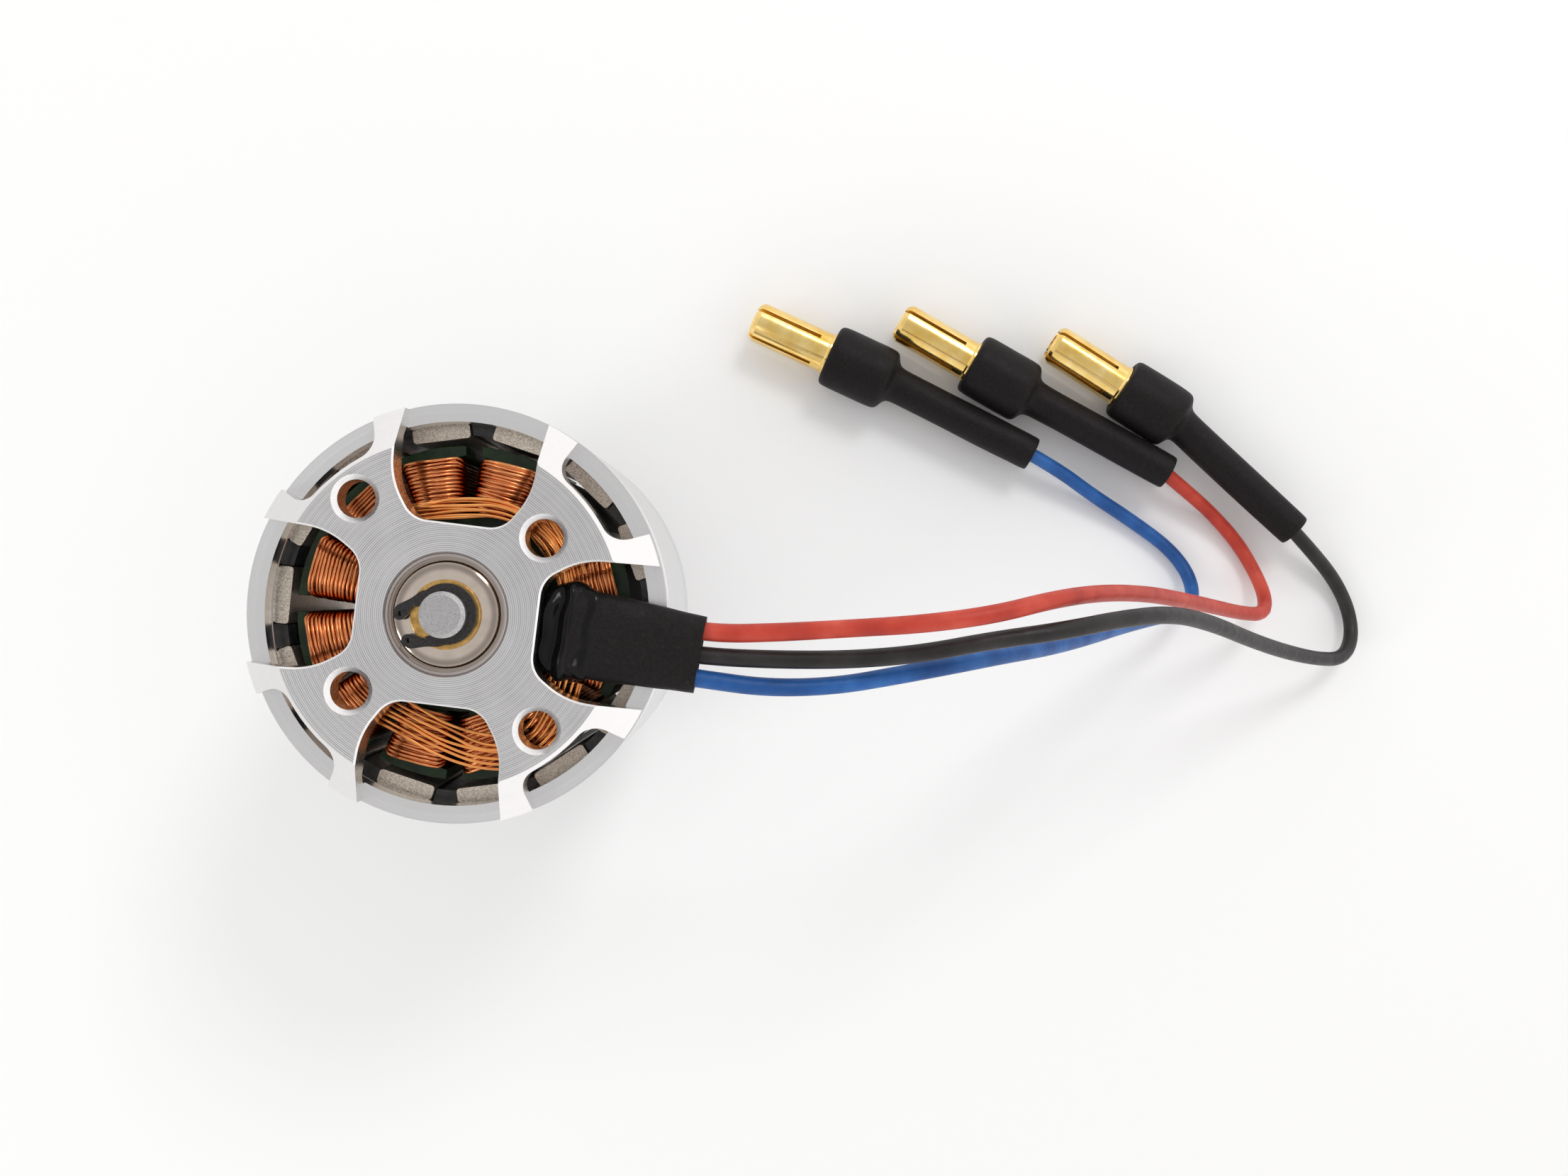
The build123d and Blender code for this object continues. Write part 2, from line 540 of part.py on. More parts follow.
def vent_cutter():
    """One cooling opening through the bell's plate, between two parallel-sided spokes."""
    half = 180 / VENT_COUNT
    bottom = BELL_FACE_Z - 1
    height = BELL_PLATE + 2
    ring = tube(VENT_OUTER_RADIUS, VENT_INNER_RADIUS, bottom, bottom + height)
    side = polar(2 * VENT_OUTER_RADIUS, half)
    wedge = make_face(Polyline((0, 0), (side.X, -side.Y), (side.X, side.Y), close=True))
    apex = SPOKE_WIDTH / 2 / math.sin(math.radians(half))
    opening = ring & Pos(apex, 0, bottom) * extrude(wedge, height)
    return fillet(opening.edges().filter_by(Axis.Z), VENT_CORNER_RADIUS)


def prop_stud():
    """M6 stud for the propeller, modelled at its thread's outer diameter."""
    r = STUD_RADIUS
    return turned([
        (0, 0), (r - STUD_CHAMFER, 0), (r, STUD_CHAMFER), (r, PROP_SEAT_Z),
        (STUD_SHANK_RADIUS, PROP_SEAT_Z),
        (STUD_SHANK_RADIUS, SHAFT_BOTTOM_Z), (0, SHAFT_BOTTOM_Z),
    ])


def flux_ring():
    b, t = RING_STEEL_BOTTOM_Z, RING_STEEL_TOP_Z
    i, o, c = RING_STEEL_INNER_RADIUS, BODY_RADIUS, RING_STEEL_CHAMFER
    return turned([(i, b), (o, b), (o, t - c), (o - c, t), (i + c, t), (i, t - c)])


def magnet(angle):
    """A magnet with a flat inner face and an outer face that fits the steel ring."""
    z0, z1 = MAGNET_BOTTOM_Z, MAGNET_TOP_Z
    half = MAGNET_WIDTH / 2
    edge_x = math.sqrt(RING_STEEL_INNER_RADIUS ** 2 - half ** 2)
    face = make_face([
        Line((MAGNET_FLAT_RADIUS, -half), (edge_x, -half)),
        ThreePointArc((edge_x, -half), (RING_STEEL_INNER_RADIUS, 0), (edge_x, half)),
        Line((edge_x, half), (MAGNET_FLAT_RADIUS, half)),
        Line((MAGNET_FLAT_RADIUS, half), (MAGNET_FLAT_RADIUS, -half)),
    ])
    block = Pos(0, 0, z0) * extrude(face, z1 - z0)
    block = fillet(block.edges().filter_by(Axis.Z), MAGNET_CORNER_RADIUS)
    return spin(block, angle)


def magnet_angles():
    return [MAGNET_ANGLE + 360 / MAGNET_COUNT * k for k in range(MAGNET_COUNT)]


def magnet_spacers():
    """The black filler between neighbouring magnets: wedges a little narrower than the gaps."""
    step = 360 / MAGNET_COUNT
    slope = math.tan(math.radians(step / 2))
    offset = MAGNET_WIDTH / 2 / math.cos(math.radians(step / 2)) + FILLER_CLEARANCE
    x0, x1 = MAGNET_FLAT_RADIUS, RING_STEEL_INNER_RADIUS + 1
    y0, y1 = x0 * slope - offset, x1 * slope - offset
    wedge = make_face(Polyline((x0, -y0), (x1, -y1), (x1, y1), (x0, y0), close=True))
    height = MAGNET_TOP_Z - MAGNET_BOTTOM_Z - FILLER_DEPTH_BELOW_MAGNETS
    filler = Pos(0, 0, MAGNET_BOTTOM_Z) * extrude(wedge, height)
    filler &= tube(RING_STEEL_INNER_RADIUS, MAGNET_FLAT_RADIUS + FILLER_RECESS,
                   MAGNET_BOTTOM_Z, MAGNET_TOP_Z)
    return [spin(filler, angle + step / 2) for angle in magnet_angles()]


def grub_screws():
    """Two set screws with a hexagon socket, against the shaft."""
    screws = []
    length = BELL_BOSS_RADIUS - SHAFT_RADIUS - GRUB_RECESS
    for angle in GRUB_ANGLES:
        screw = Cylinder(GRUB_RADIUS, length, align=(Align.CENTER, Align.CENTER, Align.MIN))
        hexagon = Pos(0, 0, length - GRUB_SOCKET_DEPTH) * RegularPolygon(GRUB_SOCKET_RADIUS, 6)
        socket = extrude(hexagon, 1)
        screws.append(spin(Pos(SHAFT_RADIUS, 0, GRUB_Z) * Rot(0, 90, 0) * (screw - socket), angle))
    return screws


# ---------------------------------------------------------------- leads and connectors

def flattened_section(plane, width, height):
    """The oval outline of the flattened heat-shrink sleeve."""
    return plane * SlotOverall(width, height)


def lead_sleeve():
    direction = (SLEEVE_END - SLEEVE_START).normalized()
    start = Plane(SLEEVE_START, x_dir=direction.cross(Vector(0, 0, 1)) * -1, z_dir=direction)
    end = Plane(SLEEVE_END, x_dir=start.x_dir, z_dir=direction)
    wall = 2 * SLEEVE_WALL
    outer = loft([
        flattened_section(start, SLEEVE_WIDTH_START, SLEEVE_HEIGHT),
        flattened_section(end, SLEEVE_WIDTH_END, SLEEVE_HEIGHT)])
    inner = loft([
        flattened_section(start.offset(-0.5), SLEEVE_WIDTH_START - wall, SLEEVE_HEIGHT - wall),
        flattened_section(end.offset(0.5), SLEEVE_WIDTH_END - wall, SLEEVE_HEIGHT - wall)])
    return outer - inner


def lead_potting():
    """Black glue that fills the inner part of the window and closes the sleeve's mouth."""
    top = BASE_FACE_Z - 0.5
    bottom = STATOR_TOP_Z + COIL_OVERHANG + 0.15
    block = spin(window_cutter(inset=0.06, bottom=bottom, top=top), WINDOW_ANGLE)
    direction = (SLEEVE_END - SLEEVE_START).normalized()
    mouth = Plane(SLEEVE_START, x_dir=direction.cross(Vector(0, 0, 1)) * -1, z_dir=direction)
    far = extrude(mouth * Rectangle(20, 20), 12)
    block = chamfer((block - far).faces().sort_by(Axis.Z)[-1].edges(), 0.4)
    plug = extrude(flattened_section(mouth, SLEEVE_WIDTH_START - 0.9, SLEEVE_HEIGHT - 0.7),
                   PLUG_LENGTH)
    return (block + plug).solids().sort_by(SortBy.VOLUME)[-1]


def lead(route):
    """One sleeved lead along its route, every turn as large an arc as its runs allow."""
    points = [Vector(*p) for p in route]
    radii = []
    for before, here, after in zip(points, points[1:], points[2:]):
        turn = math.radians((here - before).get_angle(after - here))
        shorter = min((here - before).length, (after - here).length)
        radii.append(0.45 * shorter / math.tan(turn / 2))
    path = FilletPolyline(*points, radius=radii)
    section = Plane(points[0], z_dir=points[1] - points[0]) * Circle(LEAD_RADIUS)
    solid = sweep(section, path)
    print(f"lead length {path.length:.1f}, smallest radius {min(radii):.2f},",
          f"volume ratio {solid.volume / (math.pi * LEAD_RADIUS ** 2 * path.length):.4f}")
    return solid


def connector_frames(colour):
    """Two planes: one where the tail meets the big sleeve, along the pin, and one along the tail."""
    lead_end = Vector(*LEAD_ROUTES[colour][-1][:2], CONNECTOR_Z)
    tail_way = polar(1, TAIL_DIRECTIONS[colour])
    tail_end = lead_end - tail_way * SHRINK_MOUTH_DEPTH
    pin_way = polar(1, BULLET_DIRECTIONS[colour])
    step = tail_end + tail_way * SHRINK_TAIL_LENGTH
    return Plane(tail_end, z_dir=tail_way), Plane(step, z_dir=pin_way)


def bullet(colour):
    """Gold plated bullet: hollow slotted pin, collar and solder cup."""
    _, frame = connector_frames(colour)
    front = SHRINK_LENGTH
    tip = front + BULLET_PIN_LENGTH
    bore_end = front + 0.9
    outline = [
        (0, CUP_START), (CUP_RADIUS, CUP_START), (CUP_RADIUS, front - 0.9),
        (BULLET_COLLAR_RADIUS, front - 0.7), (BULLET_COLLAR_RADIUS, front + 0.1),
        (BULLET_RADIUS, front + 0.25), (BULLET_RADIUS, tip - 0.5), (BULLET_RADIUS - 0.15, tip - 0.2),
        (BULLET_RADIUS - 0.4, tip), (BULLET_BORE, tip), (BULLET_BORE, bore_end), (0, bore_end),
    ]
    solid = revolve(make_face(Polyline([(r, 0, z) for r, z in outline], close=True)), Axis.Z)
    cup = Pos(0, 0, CUP_START) * Cylinder(CUP_BORE, 2 * CUP_DEPTH)
    slot_start = front + 1.2
    slot = Box(BULLET_SLOT_WIDTH, 6, BULLET_PIN_LENGTH, align=(Align.CENTER, Align.CENTER, Align.MIN))
    for angle in (0, 90):
        solid -= Pos(0, 0, slot_start) * spin(slot, angle)
    return frame * spin(solid - cup, BULLET_SLOT_ANGLE)


def bullet_shrink(colour):
    """Stepped black heat-shrink over the solder cup and the end of the lead."""
    tail, frame = connector_frames(colour)
    up = (Align.CENTER, Align.CENTER, Align.MIN)
    body = frame * Pos(0, 0, SHRINK_SHOULDER) * Cylinder(
        SHRINK_RADIUS, SHRINK_LENGTH - SHRINK_SHOULDER, align=up)
    shoulder = frame * Cone(SHRINK_TAIL_RADIUS, SHRINK_RADIUS, SHRINK_SHOULDER, align=up)
    elbow = frame * Sphere(SHRINK_TAIL_RADIUS)
    neck = tail * Cylinder(SHRINK_TAIL_RADIUS, SHRINK_TAIL_LENGTH, align=up)
    solid = body + shoulder + elbow + neck
    solid = fillet(solid.edges().filter_by(GeomType.CIRCLE).filter_by(
        lambda e: abs(e.radius - SHRINK_RADIUS) < 1e-4), SHRINK_EDGE_ROUNDING)
    cavity = frame * Pos(0, 0, CUP_START) * Cylinder(CUP_RADIUS, 10, align=up)
    mouth = tail * Cylinder(SHRINK_TAIL_RADIUS - SHRINK_WALL, 2 * SHRINK_MOUTH_DEPTH)
    return solid - cavity - mouth


# ---------------------------------------------------------------- write every node

def build():
    upper, lower = BASE_FACE_Z - BEARING_WIDTH, TUBE_END_Z
    core = stator_core()
    parts = {
        "motor_base": [motor_base()],
        "stator_core": [core],
        "insulation_upper": [stator_insulation(core, True)],
        "insulation_lower": [stator_insulation(core, False)],
        "lead_sleeve": [lead_sleeve()],
        "lead_potting": [lead_potting()],
        "bell_cap": [bell_cap()],
        "flux_ring": [flux_ring()],
        "magnet_spacers": magnet_spacers(),
        "shaft": [shaft()],
        "prop_stud": [prop_stud()],
        "circlip": [circlip()],
        "bronze_washer": [bronze_washer()],
        "shim_washer": [shim_washer()],
        "hub_grub_screws": grub_screws(),
    }
    angles = magnet_angles()
    parts["magnets_north"] = [magnet(a) for a in angles[0::2]]
    parts["magnets_south"] = [magnet(a) for a in angles[1::2]]
    for number, name in enumerate("abc"):
        parts[f"winding_phase_{name}"] = winding_phase(number)
        parts[f"phase_lead_wires_{name}"] = [lead_wires(LEAD_WIRE_ROUTES[name])]
    for name, bottom in (("upper", upper), ("lower", lower)):
        parts[f"{name}_bearing_outer_ring"] = [bearing_outer_ring(bottom)]
        parts[f"{name}_bearing_inner_ring"] = [bearing_inner_ring(bottom)]
        parts[f"{name}_bearing_shields"] = bearing_shields(bottom)
        parts[f"{name}_bearing_snap_wires"] = snap_wires(bottom)
        parts[f"{name}_bearing_balls"] = bearing_balls(bottom)
        parts[f"{name}_bearing_cage"] = [bearing_cage(bottom)]
    for colour in LEAD_ROUTES:
        parts[f"lead_{colour}"] = [lead(LEAD_ROUTES[colour])]
        parts[f"bullet_{colour}"] = [bullet(colour)]
        parts[f"bullet_shrink_{colour}"] = [bullet_shrink(colour)]
    return parts


os.makedirs("parts", exist_ok=True)
for node, solids in build().items():
    shape = solids[0] if len(solids) == 1 else group(solids, node)
    export_step(shape, f"parts/{node}.step")
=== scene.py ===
import math

import bpy
import numpy as np
from mathutils import Matrix, Vector, noise


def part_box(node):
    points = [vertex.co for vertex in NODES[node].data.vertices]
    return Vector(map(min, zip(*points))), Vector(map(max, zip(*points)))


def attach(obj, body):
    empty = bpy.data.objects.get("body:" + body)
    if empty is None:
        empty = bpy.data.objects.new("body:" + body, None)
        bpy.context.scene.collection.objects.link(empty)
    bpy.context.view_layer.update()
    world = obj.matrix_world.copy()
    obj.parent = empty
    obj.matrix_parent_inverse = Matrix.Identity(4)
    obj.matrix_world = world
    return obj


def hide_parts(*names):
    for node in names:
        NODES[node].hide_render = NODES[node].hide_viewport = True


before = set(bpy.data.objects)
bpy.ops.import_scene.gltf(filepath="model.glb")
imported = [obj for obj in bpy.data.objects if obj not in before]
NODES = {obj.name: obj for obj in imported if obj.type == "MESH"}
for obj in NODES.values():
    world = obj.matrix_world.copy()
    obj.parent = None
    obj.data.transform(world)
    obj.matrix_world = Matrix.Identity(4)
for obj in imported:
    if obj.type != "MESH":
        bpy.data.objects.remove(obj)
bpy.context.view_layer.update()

MM = 0.001

# ---- sizes in millimetres, as in the CAD frame: Z is the shaft axis, the base face looks up
BASE_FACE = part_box("motor_base")[1].z / MM
CORE_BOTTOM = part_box("stator_core")[0].z / MM
CORE_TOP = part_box("stator_core")[1].z / MM
COIL_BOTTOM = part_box("winding_phase_a")[0].z / MM
COIL_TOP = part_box("winding_phase_a")[1].z / MM
COIL_INNER, COIL_OUTER = 6.78, 10.4  # the radii between which a coil's turns lie
COIL_HALF_WIDTHS = (1.72, 2.2)  # at the inner and the outer end
COIL_LAYERS = 3
LAYER_STEP = 0.205  # each layer lies this much deeper than the one outside it
CROWN_LEAN = 0.46  # how far the outer turns' crowns lean outwards
CROWN_LEAN_HEIGHT = 0.7  # the height over the coating from which a crown has its full lean
TOOTH_COUNT = 12
FIRST_TOOTH = 11.5  # degrees
PHASE_TEETH = (0, 1, 6, 7)  # counted from the phase's first tooth
STEM_HALF = 1.05  # half the width of a tooth's stem
COATING = 0.25  # the epoxy on the core's ends
WIRE_RADIUS = 0.112
WIRE_PITCH = 0.236
WIRE_LEVEL = 34.75  # the winding ends cross the windows at this height
FACE_GROOVE = 0.13  # pitch of the turning marks on the base face
LEAD_RADIUS = 0.61

# How unevenly a coil is wound: its turns' slant, loose depth, swell at both ends, sag and sway
SLANT, LOOSENESS, END_SAG, SAG_WANDER, SWAY = 0.11, 0.05, 0.30, 0.11, 0.07

# The photo's camera looks straight down
CAMERA = Vector((21.79, 1.71, 134.7))
PHOTO_WIDTH, FOCAL_PIXELS, SENSOR_MM = 2212, 2118, 36.0

# Middle line of each lead, from the sleeve to its connector's tail
LEAD_ROUTES = {
    "red": [
        (9.3, 0.1, 36.05), (13.1, -0.5, 36.0), (17.0, -1.3, 36.15), (21.4, -1.2, 36.6),
        (26.1, -0.9, 37.7), (30.7, -0.6, 38.6), (35.3, 0.0, 38.5), (39.6, 1.0, 36.5),
        (43.6, 1.4, 32.1), (48.0, 1.3, 26.0), (52.4, 0.8, 19.1), (56.7, 0.2, 12.5),
        (60.3, -0.4, 7.9), (63.3, -0.6, 4.6), (64.3, 0.8, 2.2), (63.8, 3.1, 0.8),
        (62.2, 5.8, 0.8), (59.6, 8.5, 1.4), (57.1, 10.4, 2.3), (54.7, 12.3, 2.82),
    ],
    "black": [
        (9.0, -1.4, 36.05), (12.8, -2.2, 36.1), (16.7, -2.8, 36.0), (21.2, -3.0, 36.1),
        (26.0, -3.0, 36.3), (30.7, -2.6, 36.7), (35.3, -1.7, 37.1), (40.0, -1.1, 36.6),
        (44.7, -0.3, 34.2), (49.3, -0.1, 29.2), (53.9, -1.0, 22.8), (58.6, -2.4, 16.4),
        (63.4, -3.6, 10.2), (67.7, -4.4, 5.7), (70.7, -4.5, 3.1), (72.2, -2.9, 1.4),
        (72.2, -0.4, 0.8), (70.9, 2.3, 1.0), (68.5, 4.9, 2.0), (65.9, 7.4, 2.82),
    ],
    "blue": [
        (8.8, -2.9, 36.05), (12.6, -3.7, 36.0), (16.5, -4.3, 35.9), (20.7, -4.9, 35.6),
        (25.2, -4.8, 35.2), (29.4, -4.1, 34.8), (33.4, -3.4, 34.0), (37.0, -2.9, 31.2),
        (40.8, -2.6, 26.4), (44.9, -2.1, 20.2), (49.0, -1.4, 13.8), (53.0, -0.8, 8.2),
        (56.2, -0.4, 4.8), (57.9, 0.7, 2.4), (57.9, 2.9, 0.8), (56.1, 5.3, 0.8),
        (52.5, 7.9, 0.8), (49.1, 10.0, 1.4), (45.9, 12.2, 2.3), (42.7, 13.9, 2.82),
    ],
}
# The ways of the connectors' pins and of their sleeves' tails, in degrees
BULLET_DIRECTIONS = {"red": 150.0, "black": 147.5, "blue": 155.5}
TAIL_DIRECTIONS = {"red": 151.0, "black": 137.0, "blue": 153.0}
SLEEVE_START = Vector((8.05, -1.20, 36.05))
SLEEVE_END = Vector((16.29, -2.69, 36.05))
SLEEVE_WAY = (SLEEVE_END - SLEEVE_START).normalized()
SLEEVE_ACROSS = Vector((-SLEEVE_WAY.y, SLEEVE_WAY.x, 0))
SLEEVE_LENGTH = (SLEEVE_END - SLEEVE_START).length

# ---- light and floor, in metres and watts
LIGHT_AIM = (0.01, 0, 0.03)
LIGHTS = {  # place, diameter, power
    "key": ((0.16, 0.24, 0.33), 0.12, 0.35),
    "fill": ((-0.26, -0.12, 0.26), 0.14, 0.18),
}
TENT_HORIZON, TENT_TOP = (1.0, 0.985, 0.97, 1), (0.50, 0.50, 0.50, 1)
TENT_SIDES = (0.80, 1.12)  # its share of light at -X and at +X
TENT_STRENGTH = 1.32
FLOOR_HALF = 1.5
FLOOR_DROP = 0.02 * MM  # keeps the paper clear of what lies on it


# ---------------------------------------------------------------- camera, light and floor

def make_camera():
    data = bpy.data.cameras.new("camera")
    data.sensor_width = SENSOR_MM
    data.lens = FOCAL_PIXELS / PHOTO_WIDTH * SENSOR_MM
    data.clip_start, data.clip_end = 0.001, 10
    data.dof.use_dof = False
    camera = bpy.data.objects.new("camera", data)
    camera.location = CAMERA * MM
    bpy.context.scene.collection.objects.link(camera)
    bpy.context.scene.camera = camera


def area_light(name, place, size, power):
    data = bpy.data.lights.new(name, "AREA")
    data.shape = "DISK"
    data.size = size
    data.energy = power
    light = bpy.data.objects.new(name, data)
    light.location = place
    way = Vector(LIGHT_AIM) - Vector(place)
    light.rotation_euler = way.to_track_quat("-Z", "Y").to_euler()
    bpy.context.scene.collection.objects.link(light)


def make_world():
    """A white light tent: greyer overhead, where the camera hangs, and a little darker at -X."""
    world = bpy.data.worlds.new("tent")
    bpy.context.scene.world = world
    world.use_nodes = True
    tree = world.node_tree
    place = tree.nodes.new("ShaderNodeTexCoord")
    split = tree.nodes.new("ShaderNodeSeparateXYZ")
    ramp = tree.nodes.new("ShaderNodeValToRGB")
    tree.links.new(place.outputs["Generated"], split.inputs[0])
    tree.links.new(split.outputs["Z"], ramp.inputs[0])
    side = tree.nodes.new("ShaderNodeMapRange")
    tree.links.new(split.outputs["X"], side.inputs["Value"])
    side.inputs["From Min"].default_value = -1
    side.inputs["To Min"].default_value = TENT_SIDES[0]
    side.inputs["To Max"].default_value = TENT_SIDES[1]
    shade = tree.nodes.new("ShaderNodeVectorMath")
    shade.operation = "SCALE"
    tree.links.new(ramp.outputs[0], shade.inputs[0])
    tree.links.new(side.outputs["Result"], shade.inputs["Scale"])
    tree.links.new(shade.outputs[0], tree.nodes["Background"].inputs[0])
    ramp.color_ramp.elements[0].color = TENT_HORIZON
    ramp.color_ramp.elements[1].color = TENT_TOP
    tree.nodes["Background"].inputs[1].default_value = TENT_STRENGTH


def make_floor():
    corners = ((-1, -1), (1, -1), (1, 1), (-1, 1))
    mesh = bpy.data.meshes.new("floor")
    mesh.from_pydata([(x * FLOOR_HALF, y * FLOOR_HALF, 0) for x, y in corners], [], [(0, 1, 2, 3)])
    floor = bpy.data.objects.new("floor", mesh)
    floor.location.z = -FLOOR_DROP
    bpy.context.scene.collection.objects.link(floor)
    paper = Shader("floor_paper", (0.95, 0.95, 0.95), 0.7)
    paper.bump(paper.noise(4000, 3), 0.05, 0.02)
    mesh.materials.append(paper.material)


# ---------------------------------------------------------------- materials

# Sockets of a Mix node that has data type RGBA
MIX_A, MIX_B, MIX_RESULT = 6, 7, 2


class Shader:
    """A Principled material; its textures are placed by object coordinates, in metres."""

    def __init__(self, name, colour, roughness, metallic=0.0, **sockets):
        self.material = bpy.data.materials.new(name)
        self.material.use_nodes = True
        self.material.diffuse_color = (*colour, 1)
        self.tree = self.material.node_tree
        self.bsdf = self.tree.nodes["Principled BSDF"]
        self.bsdf.inputs["Base Color"].default_value = (*colour, 1)
        self.bsdf.inputs["Roughness"].default_value = roughness
        self.bsdf.inputs["Metallic"].default_value = metallic
        for socket, value in sockets.items():
            self.bsdf.inputs[socket.replace("_", " ")].default_value = value
        self.place = self.add("ShaderNodeTexCoord").outputs["Object"]
        self.normal = None

    def add(self, kind, **settings):
        node = self.tree.nodes.new(kind)
        for key, value in settings.items():
            setattr(node, key, value)
        return node

    def link(self, source, target):
        self.tree.links.new(source, target)

    def put(self, socket, value):
        if isinstance(value, (int, float)):
            socket.default_value = value
        else:
            self.link(value, socket)

    def math(self, operation, a, b=0.0):
        node = self.add("ShaderNodeMath", operation=operation)
        self.put(node.inputs[0], a)
        self.put(node.inputs[1], b)
        return node.outputs[0]

    def stretched(self, x, y, z):
        """Coordinates scaled along each axis."""
        node = self.add("ShaderNodeMapping")
        node.inputs["Scale"].default_value = (x, y, z)
        self.link(self.place, node.inputs["Vector"])
        return node.outputs[0]

    def noise(self, scale, detail=2.0, place=None, distortion=0.0):
        """Noise from 0 to 1; scale is features per metre."""
        node = self.add("ShaderNodeTexNoise")
        node.inputs["Scale"].default_value = scale
        node.inputs["Detail"].default_value = detail
        node.inputs["Distortion"].default_value = distortion
        self.link(place or self.place, node.inputs["Vector"])
        return node.outputs["Fac"]

    def axis(self, letter):
        node = self.add("ShaderNodeSeparateXYZ")
        self.link(self.place, node.inputs[0])
        return node.outputs[letter]

    def facing(self, letter):
        """The surface normal's share along one of the object's axes."""
        node = self.add("ShaderNodeSeparateXYZ")
        self.link(self.add("ShaderNodeTexCoord").outputs["Normal"], node.inputs[0])
        return node.outputs[letter]

    def radius(self):
        """Distance from the shaft axis in metres."""
        flat = self.add("ShaderNodeVectorMath", operation="MULTIPLY")
        self.link(self.place, flat.inputs[0])
        flat.inputs[1].default_value = (1, 1, 0)
        length = self.add("ShaderNodeVectorMath", operation="LENGTH")
        self.link(flat.outputs[0], length.inputs[0])
        return length.outputs["Value"]

    def ring_place(self):
        """Coordinates that vary only with the distance from the axis and the height."""
        node = self.add("ShaderNodeCombineXYZ")
        self.link(self.radius(), node.inputs[0])
        self.link(self.axis("Z"), node.inputs[1])
        return node.outputs[0]

    def waves(self, distance, period):
        """A sine from 0 to 1 that repeats every period along distance, both in metres."""
        turns = self.math("MULTIPLY", distance, 2 * math.pi / period)
        return self.math("ADD", self.math("MULTIPLY", self.math("SINE", turns), 0.5), 0.5)

    def step(self, value, low, high):
        """A smooth step from 0 at low to 1 at high."""
        node = self.add("ShaderNodeMapRange", clamp=True, interpolation_type="SMOOTHSTEP")
        self.link(value, node.inputs["Value"])
        node.inputs["From Min"].default_value = low
        node.inputs["From Max"].default_value = high
        return node.outputs["Result"]

    def ramp(self, value, stops):
        """A colour that changes with value; stops are (position, colour)."""
        node = self.add("ShaderNodeValToRGB")
        ramp = node.color_ramp
        while len(ramp.elements) < len(stops):
            ramp.elements.new(0.5)
        for element, (position, colour) in zip(ramp.elements, stops):
            element.position = position
            element.color = (*colour, 1)
        self.link(value, node.inputs[0])
        return node.outputs["Color"]

    def blend(self, share, a, b):
        """Colour a mixed with colour b by b's share."""
        node = self.add("ShaderNodeMix", data_type="RGBA")
        self.put(node.inputs["Factor"], share)
        for socket, colour in ((node.inputs[MIX_A], a), (node.inputs[MIX_B], b)):
            if isinstance(colour, tuple):
                socket.default_value = (*colour, 1)
            else:
                self.link(colour, socket)
        return node.outputs[MIX_RESULT]

    def colour(self, value):
        self.link(value, self.bsdf.inputs["Base Color"])

    def roughness(self, value, low, high):
        """Roughness from low to high as value goes from 0 to 1."""
        node = self.add("ShaderNodeMapRange", clamp=True)
        self.link(value, node.inputs["Value"])
        node.inputs["To Min"].default_value = low
        node.inputs["To Max"].default_value = high
        self.link(node.outputs["Result"], self.bsdf.inputs["Roughness"])

    def bump(self, height, strength, depth_mm):
        """Adds a bump to those already there."""
        node = self.add("ShaderNodeBump")
        node.inputs["Strength"].default_value = strength
        node.inputs["Distance"].default_value = depth_mm * MM
        self.link(height, node.inputs["Height"])
        if self.normal is not None:
            self.link(self.normal, node.inputs["Normal"])
        self.normal = node.outputs["Normal"]
        self.link(self.normal, self.bsdf.inputs["Normal"])

    def tangent_about_axis(self):
        node = self.add("ShaderNodeTangent", direction_type="RADIAL", axis="Z")
        self.link(node.outputs[0], self.bsdf.inputs["Tangent"])


def machined_aluminium():
    """Face turned with a round-nosed tool, so it has concentric grooves; satin elsewhere."""
    s = Shader("machined_aluminium", (0.78, 0.77, 0.77), 0.26, 1.0, Anisotropic=0.55)
    s.tangent_about_axis()
    level = s.step(s.axis("Z"), (BASE_FACE - 0.05) * MM, (BASE_FACE - 0.01) * MM)
    on_face = s.math("MULTIPLY", level, s.step(s.facing("Z"), 0.9, 0.99))
    fine = s.waves(s.radius(), FACE_GROOVE * MM)
    coarse = s.waves(s.radius(), 3 * FACE_GROOVE * MM)
    uneven = s.math("ADD", s.math("MULTIPLY", s.noise(700, 3), 0.5), 0.45)
    grooves = s.math("ADD", s.math("MULTIPLY", fine, 0.82), s.math("MULTIPLY", coarse, 0.18))
    lines = s.math("MULTIPLY", s.math("MULTIPLY", grooves, uneven), on_face)
    tone = s.ramp(lines, [(0.0, (0.84, 0.83, 0.83)), (0.22, (0.80, 0.79, 0.79)),
                          (0.75, (0.40, 0.39, 0.40))])
    cloud = s.math("MULTIPLY", s.noise(160, 3), 0.3)
    s.colour(s.blend(cloud, tone, (0.62, 0.61, 0.62)))
    s.roughness(s.noise(5200, 2, s.ring_place()), 0.18, 0.36)
    s.bump(lines, 0.7, 0.016)
    s.bump(s.noise(14000, 2), 0.1, 0.003)
    return s.material


def turned_metal(name, colour, roughness, period_mm):
    """Metal turned on a lathe: fine rings about the shaft axis on every face."""
    s = Shader(name, colour, roughness, 1.0, Anisotropic=0.5)
    s.tangent_about_axis()
    rings = s.noise(1 / (period_mm * MM), 2, s.ring_place())
    dull = tuple(0.72 * c for c in colour)
    tone = s.ramp(rings, [(0.3, colour), (0.75, dull)])
    s.colour(s.blend(s.math("MULTIPLY", s.noise(260, 4), 0.2), tone, dull))
    s.roughness(rings, roughness * 0.75, roughness * 1.35)
    s.bump(rings, 0.25, 0.006)
    return s.material


